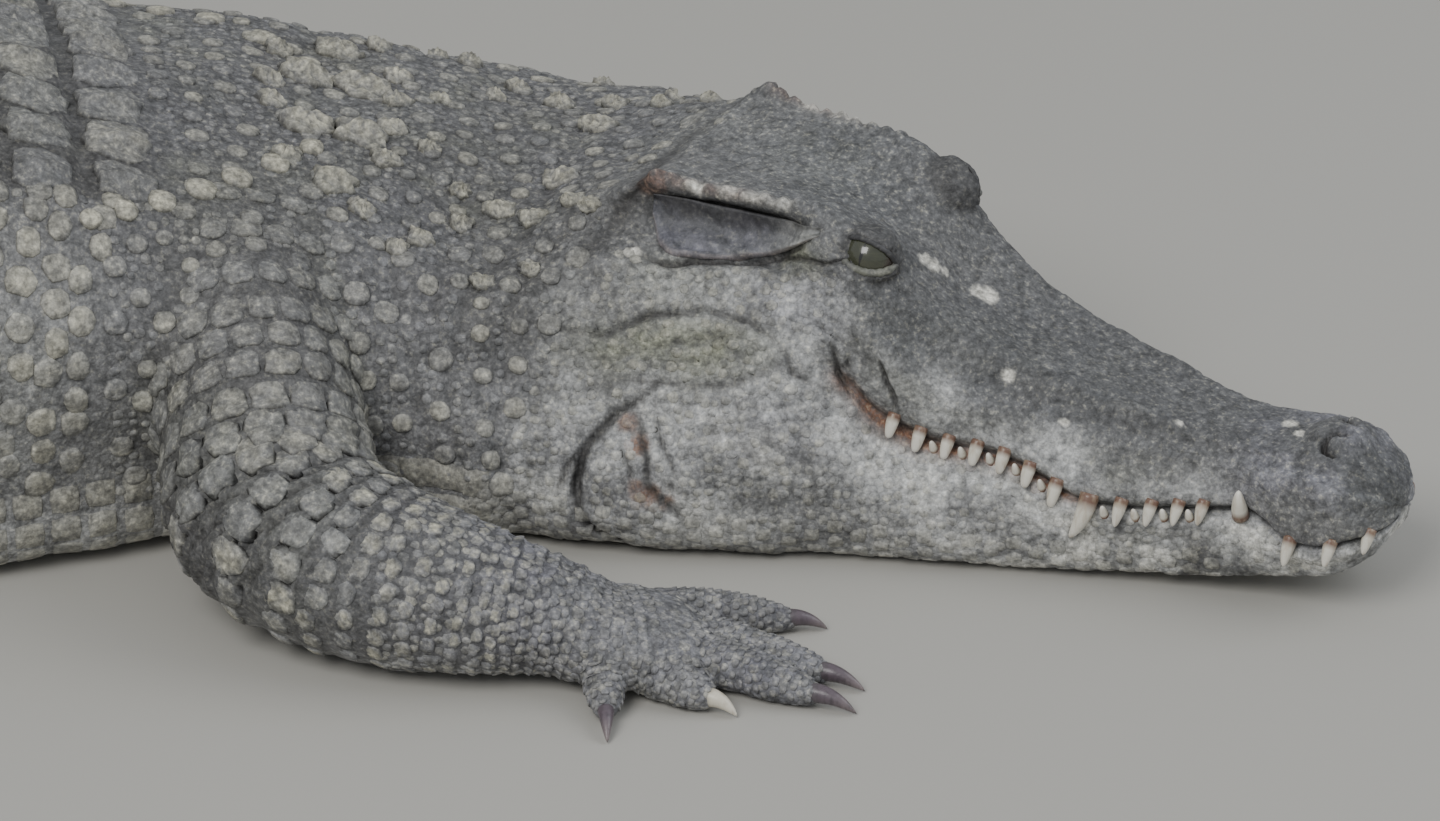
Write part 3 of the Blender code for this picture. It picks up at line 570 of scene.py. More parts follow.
def round_the_eyes(points):
    """Draw the hide near each eye on to a shell round the ball, and behind the ball within the lids."""
    points = points.copy()
    for centre, gaze, ahead, above in EYES.values():
        q = points - centre
        far = np.linalg.norm(q, axis=-1)
        d = q / far[:, None]
        along = np.arctan2(d @ ahead, d @ gaze)
        rise = np.arcsin(np.clip(d @ above, -1, 1))
        upper, lower = lid_line(np.clip(along / LID_HALF_LENGTH, -1, 1))
        room = np.minimum(upper - rise, rise - lower) * (d @ gaze > 0)
        inside = ramp(room, -.03, .05) * (np.abs(along) < LID_HALF_LENGTH)
        folds = .0007 * np.cos(room * 34) * band(-room, .08, .2, .7, .9)
        brow = .0016 * lumps(points, .0085, 18) * ramp(-room, .25, .5) * ramp(d @ above, .1, .5)
        shell = EYE_RADIUS + .0012 + .0030 * hill(room, -.22, .16) + folds + np.maximum(brow, -.0006)
        target = shell * (1 - inside) + (EYE_RADIUS - .0045) * inside
        weight = fall(far, EYE_RADIUS * 1.12, EYE_RADIUS * 1.75) * ramp(d @ gaze, -.15, .30)
        moved = far + weight * (target - far)
        moved = np.where(inside < .5, np.maximum(moved, shell), moved)
        points += (moved - far)[:, None] * d
    return points


# %% The body's grid
# where each spacing of the rings starts along the spine, and the spacing
RING_GAPS = ((.0008, .0014), (.068, .0024), (.35, .0018), (.58, .0035), (.66, .0060), (1.10, .0135),
             (2.05, .026), (LENGTH - .06, 0))
STATIONS = [np.arange(start, end, gap) for (start, gap), (end, after) in zip(RING_GAPS, RING_GAPS[1:])]
STATIONS = np.concatenate([*STATIONS, LENGTH - .055 * (1 - np.sin(np.linspace(0, np.pi / 2, 9)))])
RIGHT_STEPS = (16, 14, 20, 26, 26, 14, 6)
LEFT_STEPS = (14, 8, 8, 11, 11, 6, 5)
right, left = (np.concatenate([np.linspace(k, k + 1, n, endpoint=False) for k, n in enumerate(steps)])
               for steps in (RIGHT_STEPS, LEFT_STEPS))
ROUND = np.concatenate([-right[:0:-1], left, [KEEL_LINE]])
TAIL_ROUND = .055
FLOOR_GAP = .0010


def tip_rounded(s, points):
    """The tail's last few centimetres drawn in to a blunt tip: a quarter circle over TAIL_ROUND."""
    end = np.clip((s - LENGTH + TAIL_ROUND) / TAIL_ROUND, 0, 1)
    middle = place(s, 0 * s, .45 * outline(s, 0 * s)[1])
    return middle + np.maximum(np.sqrt(1 - end ** 2), .12)[:, None] * (points - middle)


def body_tube():
    """Points and faces of the closed tube: the body's frame at every (s, w), moved along the normal."""
    s, w = (grid.ravel() for grid in np.meshgrid(STATIONS, ROUND, indexing="ij"))
    spot, along, normal = body_frame(s, w)
    height = relief(s, w, spot) + cracked(s, w, spot) - crease_depth(spot) - curve(s, COAT_DEPTH)
    spot = round_the_eyes(tip_rounded(s, spot + height[:, None] * normal))
    spot[:, 2] = np.maximum(spot[:, 2], FLOOR_GAP)
    ends = np.array([spot[:len(ROUND)].mean(0) + FORWARD * .0010, spot[-len(ROUND):].mean(0)])
    points = np.concatenate([spot, ends])
    return points, outward(points, tube_faces(len(STATIONS), len(ROUND)))


tube_points, tube_triangles = body_tube()
print("body tube:", len(tube_points), "points", len(tube_triangles), "triangles")

# %% [markdown]
# ## The legs and feet
# A leg is a tube of ellipses along a bent path, and so is each toe; a web is a thin wedge between two toes.
# They could be joined with Booleans, which leave hard valleys. A voxel remesh melts the overlapping tubes
# into one soft surface instead, as flesh is, and a few rounds of smoothing take the steps out of it.

# %% The paths of the legs: (x, outward from the trunk's middle line, z, half-width, half-height)
LEG_STEPS, LEG_SIDES = 60, 36
TOE_STEPS, TOE_SIDES = 14, 18
WEB_LEVELS = (.003, .013)
FORE_RIGHT = ((-.780, .080, .150, .062, .070), (-.780, .170, .165, .066, .075),
              (-.780, .250, .125, .072, .076), (-.778, .330, .080, .078, .074),
              (-.728, .392, .062, .072, .066), (-.660, .430, .049, .060, .054),
              (-.596, .452, .036, .048, .038))
FORE_LEFT = ((-.800, .080, .150, .062, .070), (-.820, .170, .165, .066, .075),
             (-.850, .250, .125, .072, .076), (-.868, .335, .080, .078, .074),
             (-.822, .400, .062, .072, .066), (-.758, .443, .049, .060, .054),
             (-.697, .470, .036, .048, .038))
HIND = ((-1.860, .060, .150, .100, .110), (-1.820, .160, .158, .108, .118),
        (-1.778, .262, .132, .098, .104), (-1.772, .350, .100, .082, .084),
        (-1.826, .424, .077, .066, .066), (-1.895, .474, .057, .053, .052),
        (-1.953, .512, .040, .046, .040))
# toes: (root x, root out, tip x, tip out, half-width, claw length)
FORE_TOES_RIGHT = ((-.520, .420, -.428, .440, .0165, .022), (-.515, .455, -.422, .518, .0180, .026),
                   (-.525, .478, -.434, .545, .0180, .026), (-.556, .492, -.507, .535, .0175, .018),
                   (-.575, .486, -.583, .538, .0155, .024))
FORE_TOES_LEFT = ((-.610, .448, -.516, .440, .0165, .022), (-.604, .480, -.505, .508, .0180, .026),
                  (-.616, .504, -.530, .562, .0180, .026), (-.640, .515, -.588, .590, .0155, 0),
                  (-.664, .510, -.652, .582, .0135, 0))
HIND_TOES = ((-1.962, .590, -1.875, .665, .0165, .026), (-1.975, .602, -1.900, .712, .0185, .028),
             (-1.990, .606, -1.945, .742, .0185, .026), (-2.008, .600, -2.002, .730, .0150, 0))
FORE_SOLE_RIGHT = ((-.570, .462, .028, .052, .030), (-.538, .464, .024, .058, .026),
                   (-.508, .460, .019, .048, .021))
FORE_SOLE_LEFT = ((-.671, .480, .028, .052, .030), (-.635, .490, .024, .056, .026),
                  (-.606, .494, .019, .046, .021))
HIND_SOLE = ((-1.978, .545, .029, .052, .031), (-1.988, .580, .024, .055, .026),
             (-1.985, .608, .019, .047, .021))
LEGS = {
    "fore_right": (FORE_RIGHT, FORE_SOLE_RIGHT, -1, FORE_TOES_RIGHT, (.10, .22, .10, .12), .0038),
    "fore_left": (FORE_LEFT, FORE_SOLE_LEFT, 1, FORE_TOES_LEFT, (.10, .22, .22, .20), .0066),
    "hind_right": (HIND, HIND_SOLE, -1, HIND_TOES, (.55, .60, .60), .0066),
    "hind_left": (HIND, HIND_SOLE, 1, HIND_TOES, (.55, .60, .60), .0072),
}


def path_through(rows, count, side):
    """Evenly spaced rows along a smooth curve through the given ones, moved into the model's frame."""
    rows = np.array(rows, float)
    rows[:, 1] = TRUNK_Y + side * rows[:, 1]
    along = np.concatenate([[0], np.cumsum(np.linalg.norm(np.diff(rows[:, :3], axis=0), axis=1))])
    t = np.linspace(0, along[-1], count)
    dense = np.stack([curve(t, np.stack([along, column], 1)) for column in rows.T], 1)
    dense[:, :3] += SHIFT
    return dense


def ring_axes(rows):
    """At each row of a path: the way ahead, the level way across it, and the way up from both."""
    ahead = unit(np.gradient(rows[:, :3], axis=0))
    level = unit(np.cross(ahead, (0, 0, 1)))
    return ahead, level, np.cross(level, ahead)


def path_length(rows):
    """The length of a path in metres."""
    return np.linalg.norm(np.diff(rows[:, :3], axis=0), axis=1).sum()


def tube_on(rows, sides, shrink):
    """Points and faces of elliptic rings round a path, with the ends' middles last."""
    level, upright = ring_axes(rows)[1:]
    turn = circle(sides)
    wide = (rows[:, 3] - shrink)[:, None, None] * np.cos(turn)[None, :, None] * level[:, None]
    high = (rows[:, 4] - shrink)[:, None, None] * np.sin(turn)[None, :, None] * upright[:, None]
    rings = (rows[:, None, :3] + wide + high).reshape(-1, 3)
    return np.concatenate([rings, rows[:1, :3], rows[-1:, :3]]), tube_faces(len(rows), sides)


def toe_rows(toe, side):
    """A toe's path: from inside the palm, over two low knuckles, to its round end just above the floor."""
    x0, out0, x1, out1, radius = toe[:5]
    t = np.array([-.25, 0, .35, .75, .95, 1.0])
    rise = np.array([.0165, .018, .016, .0115, .0085, .0075])
    size = radius * np.array([.95, 1.0, .98, .82, .62, .40])
    rows = np.stack([x0 + (x1 - x0) * t, out0 + (out1 - out0) * t, rise, size, size * .92], 1)
    rows = path_through(rows, TOE_STEPS, side)
    way = np.linspace(-.25, 1, TOE_STEPS)
    rows[:, 3:] *= (1 + .07 * hill(way, .30, .10) + .09 * hill(way, .66, .08))[:, None]
    return rows


def web_wedge(a, b, reach, side):
    """A thin flat wedge between two toes, out to a share of the second one's length."""
    a, b = np.array(a[:4]), np.array(b[:4])
    corners = np.array([a[:2], b[:2], b[:2] + reach * (b[2:] - b[:2]), a[:2] + reach * (a[2:] - a[:2])])
    flat = np.stack([corners[:, 0], TRUNK_Y + side * corners[:, 1]], 1) + SHIFT[:2]
    levels = [np.column_stack([spots, np.full(len(spots), z)])
              for spots in (flat, flat.mean(0)[None]) for z in WEB_LEVELS]
    return np.concatenate(levels), tube_faces(2, 4)


LEG_ROWS, TOE_ROWS = {}, {}


def leg_mesh(name, path, sole, side, toes, webs, voxel):
    """One closed soft surface for a leg, its palm, toes and webs."""
    LEG_ROWS[name] = path_through(path + sole, LEG_STEPS, side)
    TOE_ROWS[name] = [toe_rows(toe, side) for toe in toes]
    parts = [tube_on(LEG_ROWS[name], LEG_SIDES, .0016)]
    parts += [tube_on(row, TOE_SIDES, .0006) for row in TOE_ROWS[name]]
    parts += [web_wedge(a, b, reach, side) for a, b, reach in zip(toes, toes[1:], webs)]
    raw = make_piece(name, *joined(parts), smooth=False)
    melt = raw.modifiers.new("melt", "REMESH")
    melt.mode = "VOXEL"
    melt.voxel_size = voxel
    soft = evaluated(raw)
    bpy.data.objects.remove(raw)
    return soft


def neighbours(mesh):
    """The two ends of every edge, as arrays."""
    return fetch(mesh.edges, "vertices", 2).T


def relax(points, edges, weight, rounds):
    """Move each point by its weight towards the mean of its neighbours, again and again."""
    a, b = edges
    count = np.maximum(np.bincount(a, minlength=len(points)) + np.bincount(b, minlength=len(points)), 1)
    for turn in range(rounds):
        mean = np.stack([np.bincount(a, points[b, k], len(points))
                         + np.bincount(b, points[a, k], len(points))
                         for k in range(3)], 1) / count[:, None]
        points = points + weight[:, None] * (mean - points)
    return points


# %% Where a point is on a leg, and where it is on the body
def on_leg(points, rows):
    """The nearest place along a leg from 0 to 1, the angle round it, and the distance outside it."""
    ahead, level, upright = ring_axes(rows)
    gap = np.linalg.norm(points[:, None] - rows[None, :, :3], axis=-1)
    i = gap.argmin(1)
    q = points - rows[i, :3]
    step = (q * ahead[i]).sum(-1)
    x, y = (q * level[i]).sum(-1), (q * upright[i]).sum(-1)
    wide, high = rows[i, 3], rows[i, 4]
    ratio = np.hypot(x / wide, y / high)
    end = np.where((i == 0) | (i == len(rows) - 1), np.maximum(np.abs(step) - .01, 0), 0)
    out = (ratio - 1) * np.hypot(x, y) / np.maximum(ratio, 1e-6) + end
    return i / (len(rows) - 1) + step / path_length(rows), np.arctan2(y / high, x / wide), out


def elbow_folds(t, turn):
    """Folds that fan out from the inside of the bent elbow: lines of constant phase, where the phase is
    (t - start) / gap and both start and gap change with the angle round the leg. 1 in a fold."""
    outside = np.clip((1.85 - turn) / 1.9, 0, 1.3)
    gap = .013 + .017 * outside
    phase = (t - .565 + .125 * outside) / gap
    near = (phase - np.round(phase)) * gap / .0034
    return np.exp(-near ** 2) * hill(phase, 1.6, 4.2) * hill(turn, .75, 1.7)


def on_body(points):
    """The nearest (s, w) on the body for each point and its distance outside, found ring by ring."""
    pick = np.arange(0, len(SPINE_S), 25)
    spine = np.stack([SPINE_X, SPINE_Y], 1) + SHIFT[:2]
    gap = np.hypot(*(points[:, None, :2] - spine[None, pick]).transpose(2, 0, 1))
    s = SPINE_S[pick[gap.argmin(1)]]
    for turn in range(3):
        x, y, angle = spine_at(s)
        q = points[:, :2] - (np.stack([x, y], 1) + SHIFT[:2])
        if turn < 2:
            s = np.clip(s - (q[:, 0] * np.cos(angle) + q[:, 1] * np.sin(angle)), .0005, LENGTH)
    y = -np.sin(angle) * q[:, 0] + np.cos(angle) * q[:, 1]
    z = points[:, 2]
    best = np.full(len(points), 3.5)
    for reach, count in ((3.5, 29), (.25, 9), (.06, 7)):
        v = np.clip(best[:, None] + np.linspace(-reach, reach, count)[None], 0, KEEL_LINE)
        wide, high = outline(np.repeat(s[:, None], count, 1), v)
        gap = np.hypot(wide - np.abs(y)[:, None], high - z[:, None])
        best = v[np.arange(len(v)), gap.argmin(1)]
    wide, high = outline(s, best)
    core = .5 * np.interp(s, SPINE_S, HIGH[1])
    inward = np.hypot(np.abs(y), (z - core) * 1.5) < np.hypot(wide, (high - core) * 1.5)
    gap = np.hypot(wide - np.abs(y), high - z)
    return s, np.where(y < 0, -best, best), np.where(inward, -gap, gap)


# %% One skin: the tube joined with the four legs
SKIN_SHARE = .69
WHOLE_TO, HALF_TO = .66, 1.16
skin = make_piece("skin", tube_points, tube_triangles)
for name, leg in LEGS.items():
    soft = leg_mesh(name, *leg)
    points = read_points(soft)
    points = relax(points, neighbours(soft), np.full(len(points), .5), 4)
    t, turn, out = on_leg(points, LEG_ROWS[name])
    fold = .0022 * np.sin(t * 2 * np.pi * 26 + 1.2 * np.sin(turn * 2)) * hill(t, .44, .16)
    wrist = .0012 * np.sin(t * 2 * np.pi * 44) * hill(t, .82, .08)
    last = LEG_STEPS - 1
    centre = LEG_ROWS[name][np.clip((t * last).astype(int), 0, last), :3]
    bend = .0036 * elbow_folds(t, turn) if "fore" in name else 0
    points += (fold + wrist - bend + .0016 * lumps(points, .03, 31))[:, None] * unit(points - centre)
    points[:, 2] = np.maximum(points[:, 2], .0012)
    write_points(soft, points)
    limb = bpy.data.objects.new(name + "_soft", soft)
    bpy.context.scene.collection.objects.link(limb)
    union = skin.modifiers.new(name, "BOOLEAN")
    union.operation = "UNION"
    union.object = limb
    union.solver = "MANIFOLD"
    print(name, "triangles", sum(len(face.vertices) - 2 for face in soft.polygons))
# a Decimate thins the skin where scales hide it; the group keeps the head's and the neck's own grid
keep = skin.vertex_groups.new(name="keep")
tube_s = np.append(np.repeat(STATIONS, len(ROUND)), [STATIONS[0], STATIONS[-1]])
for far_end, weight in ((HALF_TO, .6), (WHOLE_TO, 1.0)):
    keep.add(np.nonzero(tube_s < far_end)[0].tolist(), weight, "REPLACE")
thin = skin.modifiers.new("thin", "DECIMATE")
thin.ratio = SKIN_SHARE
thin.vertex_group = "keep"
thin.invert_vertex_group = True
whole = evaluated(skin)
skin.vertex_groups.clear()
for name in LEGS:
    bpy.data.objects.remove(bpy.data.objects[name + "_soft"])
skin.modifiers.clear()
skin.data = whole
whole.name = "skin"
fresh = bmesh.new()
fresh.from_mesh(whole)
bmesh.ops.triangulate(fresh, faces=fresh.faces)
fresh.to_mesh(whole)
fresh.free()
whole.shade_smooth()
print("skin triangles:", len(whole.polygons))

# %% Soften the valleys where the legs grow out of the body
skin_points = read_points(whole)
skin_s, skin_w, skin_out = on_body(skin_points)
valley = np.zeros(len(skin_points))
leg_near = {}
for name, rows in LEG_ROWS.items():
    path = rows[:, :3]
    close = np.abs(skin_points - path.mean(0)) < np.ptp(path, axis=0) / 2 + .16
    close = np.nonzero(close.all(-1))[0]
    t, turn, out = on_leg(skin_points[close], rows)
    near = hill(out, 0, .022) * hill(skin_out[close], 0, .022) * (t < .55)
    valley[close] = np.maximum(valley[close], near)
    leg_near[name] = (close, t, turn, out)
skin_points = relax(skin_points, neighbours(whole), .5 * np.clip(valley * 1.6, 0, 1), 30)
skin_points[:, 2] = np.maximum(skin_points[:, 2], FLOOR_GAP)
write_points(whole, skin_points)
whole.update()

# %% [markdown]
# ## The markings
# Skin and scales have to carry the same colours, or the coat looks like confetti. So the markings are a
# function of place: eight strengths from 0 to 1, worked out from (s, w) and a little noise, and stored on
# the points of every piece as two colour attributes. The shader turns the strengths into colours.

# %% Where each colour lies
# the dark mark holds real dark colour and also painted shade: in creases and hollows, round the eyes and at
# the sunk rims of the scales
MARKS = ("pale", "olive", "rust", "dark", "slate", "lavender", "white", "tone")
# white flecks and orange sores: (s, w, radius)
FLECKS = ((.370, -.30, .0045), (.364, -.24, .0050), (.358, -.17, .0045), (.336, -.02, .0060),
          (.328, .06, .0075), (.343, -.12, .0035), (.282, -1.56, .0050), (.554, -2.75, .005),
          (.16, -1.0, .003), (.092, .11, .005), (.080, -.25, .004), (.236, -2.4, .0035))
SORES = ((.556, -1.10, .012), (.518, -4.58, .007), (.507, -4.72, .008), (.503, -5.06, .008),
         (.494, -5.12, .009), (.484, -5.16, .006))


def spots(points, places, swell):
    """Soft round spots on the body: 1 at the middle of a place and 0 well outside its radius."""
    found = np.zeros(len(points))
    for s, w, radius in places:
        far = np.linalg.norm(points - body_point(s, w), axis=-1)
        found = np.maximum(found, fall(far / (radius * swell), .75, 1.25))
    return found


def oval(s, v, s0, v0, long, tall):
    """A soft oval patch round (s0, v0)."""
    return hill(s, s0, long) * hill(v, v0, tall)


def body_marks(s, w, points):
    """Strengths of the eight marks for places on the head, neck, trunk and tail."""
    v = np.abs(w)
    wide, small, tiny = (lumps(points, size, salt) for size, salt in ((.085, 41), (.026, 42), (.010, 43)))
    head, neck, trunk = fall(s, .575, .64), band(s, .575, .64, 1.0, 1.15), ramp(s, 1.0, 1.15)
    blotched = .6 + .6 * small

    pale = hill(v, 4.35, .42) * (v > 3.95) * fall(s, .30, .45) * (.75 + .25 * small)
    pale += .75 * hill(v, 3.66, .38) * band(s, .09, .15, .31, .38) * blotched
    pale += (.12 + .26 * ramp(v, 1.6, 2.8)) * np.clip(small + .6 * wide, 0, 1) * fall(v, 3.2, 3.8)
    pale += (.78 + .50 * fall(s, .15, .32)) * ramp(v, 4.12, 4.4) * (.7 + .35 * wide + .6 * small)
    pale += .85 * hill(v, 3.30, .70) * band(s, .16, .25, .33, .38) * (.6 + .7 * small)
    pale += .55 * hill(v, 3.45, .65) * ramp(s, .33, .38) * blotched + .35 * oval(s, v, .41, 4.05, .035, .35)
    pale = head * pale + .85 * (1 - head) * ramp(v, 5.2, 6.2) + .20 * neck * ramp(v, 3.2, 4.6)
    pale += .45 * trunk * ramp(v, 2.6, 3.6) * (.8 + .4 * small)

    olive = 1.1 * oval(s, v, .497, 4.02, .062, .26) + .8 * oval(s, v, .437, 2.25, .016, .45)
    olive += .45 * hill(v, 3.45, .45) * band(s, .12, .2, .33, .40) * (.6 + .6 * wide)
    olive += .50 * ramp(v, 4.2, 4.5) * fall(s, .16, .26) * (.5 + .7 * small)
    olive += .55 * oval(s, v, .53, 3.2, .05, .5) * (.5 + .8 * small)
    olive = head * olive + .30 * np.clip(wide + .15, 0, 1) * (1 - .6 * head)
    olive += .35 * neck * hill(v, .8, 1.0) * np.clip(small, 0, 1)

    rust = hill(v, 4.06, .085) * band(s, .19, .23, .385, .405) * (.80 + .30 * tiny)
    rust += .30 * hill(v, 4.14, .14) * band(s, .19, .24, .36, .40)
    rust += .35 * hill(v, 1.06, .12) * band(s, .45, .50, .545, .56)
    rust = np.maximum(rust, (.75 + .4 * small) * spots(points, SORES, 1 + .5 * tiny))

    slate = fall(v, 2.5, 3.7) * (.60 + .45 * wide) * (1 - .45 * ramp(s, .44, .56))
    slate = head * (slate + .30 * ramp(v, 4.9, 5.6) * fall(s, .44, .52) + .25 * ramp(s, .03, 0))
    slate += .35 * (1 - head) * fall(v, 1.6, 3.0) * (.7 + .5 * wide)

    lavender = .8 * oval(s, v, .425, 3.35, .040, .55) * (.55 + .6 * small)
    lavender += .9 * oval(s, v, .425, 4.52, .05, .22) * (.6 + .5 * small)
    lavender += .45 * ramp(v, 4.4, 4.9) * ramp(s, .2, .3) * np.clip(wide + .3, 0, 1)
    lavender = head * (lavender + .55 * fall(s, .09, .14) * np.clip(small + .3, 0, 1))
    lavender += .45 * neck * np.clip(.45 + wide, 0, 1) + .25 * trunk * np.clip(wide, 0, 1)

    white = spots(points, FLECKS, 1 + .3 * tiny)
    white += .30 * ramp(v, 4.2, 4.5) * fall(s, .18, .34) * np.clip(.5 + small + tiny, 0, 1)
    white += .22 * head * ramp(v, 4.2, 4.6) * np.clip(small + .6 * tiny, 0, 1)
    white += .95 * hill(v, 1.06, .12) * band(s, .44, .46, .525, .54) * np.clip(.35 + tiny, 0, 1)

    # painted shade in the creases, the mouth's groove, the ear's hollow under the skull's edge, the nostril
    # slits and on the lids round each eye; real dark blotches on the jaw and a darker snout top, back and
    # neck
    dark_and_painted_shade = [.88 * np.clip(crease_depth(points, 1.1) / .0034, 0, 1) * (1 - .50 * ramp(s, .56, .62)),
               .90 * hill(v, 3.99, .045) * fall(s, .38, .40),
               .95 * hill(v, 1.52, .20) * band(s, .435, .45, .55, .565),
               .97 * np.clip(1.6 * nostril(s, v), 0, 1),
               .42 * head * ramp(v, 4.2, 4.5) * np.clip(-small - .7 * tiny - .1, 0, 1),
               .30 * head * fall(s, .36, .42) * fall(v, 1.5, 3.0) * (.8 + .5 * wide),
               .62 * band(s, .96, 1.02, 1.98, 2.1) * fall(v, 1.8, 2.1),
               .35 * neck * fall(v, 4.6, 5.4)]
    dark_and_painted_shade += [.50 * fall(np.linalg.norm(points - eye[0], axis=-1), .023, .031) for eye in EYES.values()]
    dark = np.max(dark_and_painted_shade, axis=0)
    tone = np.zeros(len(points))
    return np.clip(np.stack([pale, olive, rust, dark, slate, lavender, white, tone], -1), 0, 1)


def leg_marks(t, turn, points):
    """The same for the legs: greyer and a little violet towards the toes, paler underneath."""
    wide, small = lumps(points, .07, 44), lumps(points, .022, 45)
    zero = np.zeros(len(points))
    under = ramp(-np.sin(turn), .2, .9)
    pale = .06 + .45 * under + .12 * small
    # darker over the leg above the hand and less underneath; the elbow's folds get painted shade
    dark = .34 * fall(t, .80, .90) * (1 - .6 * under) + .15 + .36 * elbow_folds(t, turn)
    olive = .35 * np.clip(.3 + wide, 0, 1) * fall(t, .5, .8)
    lavender = .30 * ramp(t, .35, .9) + .35 * np.clip(wide, 0, 1)
    slate = .25 + .25 * wide + .15 * ramp(t, .75, 1)
    return np.clip(np.stack([pale, olive, zero, dark, slate, lavender, zero, zero], -1), 0, 1)


def colour_in(piece, marks):
    """Store the eight strengths on a piece's points, four in each of two colour attributes."""
    paint(piece, "marks_a", marks[:, :4])
    paint(piece, "marks_b", marks[:, 4:])


# %% Colour the skin
marks = body_marks(skin_s, skin_w, skin_points)
for name, (close, t, turn, out) in leg_near.items():
    share = fall(out / (np.abs(skin_out[close]) + .004), .3, 2.2)
    share = np.where(out < .010, np.maximum(share, ramp(skin_out[close], .010, .035)), share)[:, None]
    marks[close] = marks[close] * (1 - share) + leg_marks(t, turn, skin_points[close]) * share
colour_in(skin, marks)
print("mean strengths:", dict(zip(MARKS, marks.mean(0).round(2).tolist())))

# %% [markdown]
# ## Scales
# Every scale is a small closed dish: rings of points round a middle, its outline anything from round to
# square, its top domed or keeled, its rim sunk below the hide. Thousands could be instances, but they
# have to be real mesh, so each kind is one array of shape (scales, points, 3). All the discs are first
# laid flat, then drawn on to the skin by a Shrinkwrap, and then raised along the skin's own normal. A
# disc that has to travel far was inside some other part of the body, and is left out.

# %% One kind of scale at a time
SCALE_GAP = .0004


def dish(spokes, radii):
    """Ring radius and angle of each point of a unit disc, middle first and the underside's middle last."""
    r = np.concatenate([[0.0], np.repeat(radii, spokes), [0.0]])
    angle = np.concatenate([[0.0], np.tile(circle(spokes), len(radii)), [0.0]])
    i = np.arange(spokes)
    j = (i + 1) % spokes
    faces = [np.stack([np.zeros(spokes, int), 1 + i, 1 + j], -1)]
    for k in range(len(radii) - 1):
        a, b = 1 + k * spokes, 1 + (k + 1) * spokes
        faces.append(np.stack([a + i, b + i, b + j], -1))
        faces.append(np.stack([a + i, b + j, a + j], -1))
    rim = 1 + (len(radii) - 1) * spokes
    faces.append(np.stack([rim + j, rim + i, np.full(spokes, len(r) - 1)], -1))
    return r, angle, np.concatenate(faces)


def drawn_to_skin(points):
    """The nearest places on the skin to an array of points, found by a Shrinkwrap modifier."""
    cloud = make_piece("cloud", points, np.zeros((0, 3), int), smooth=False)
    wrap = cloud.modifiers.new("wrap", "SHRINKWRAP")
    wrap.target = skin
    wrap.wrap_method = "NEAREST_SURFACEPOINT"
    found = evaluated(cloud)
    result = read_points(found)
    bpy.data.objects.remove(cloud)
    bpy.data.meshes.remove(found)
    return result


COAT = []
UNWRAP_SIZE = .0014


def finish_coat(piece, colours, root, patch):
    """Colour a piece of scales, and unwrap each scale to a small patch beside its root."""
    colour_in(piece, colours.reshape(-1, 8))
    corner = fetch(piece.data.loops, "vertex_index", 1)[:, 0]
    spot = (root[:, None] + patch * UNWRAP_SIZE).reshape(-1, 2)
    layer = piece.data.uv_layers.new(name="OFBake")
    layer.data.foreach_set("uv", spot[corner].astype(np.float32).ravel())
    COAT.append(piece)


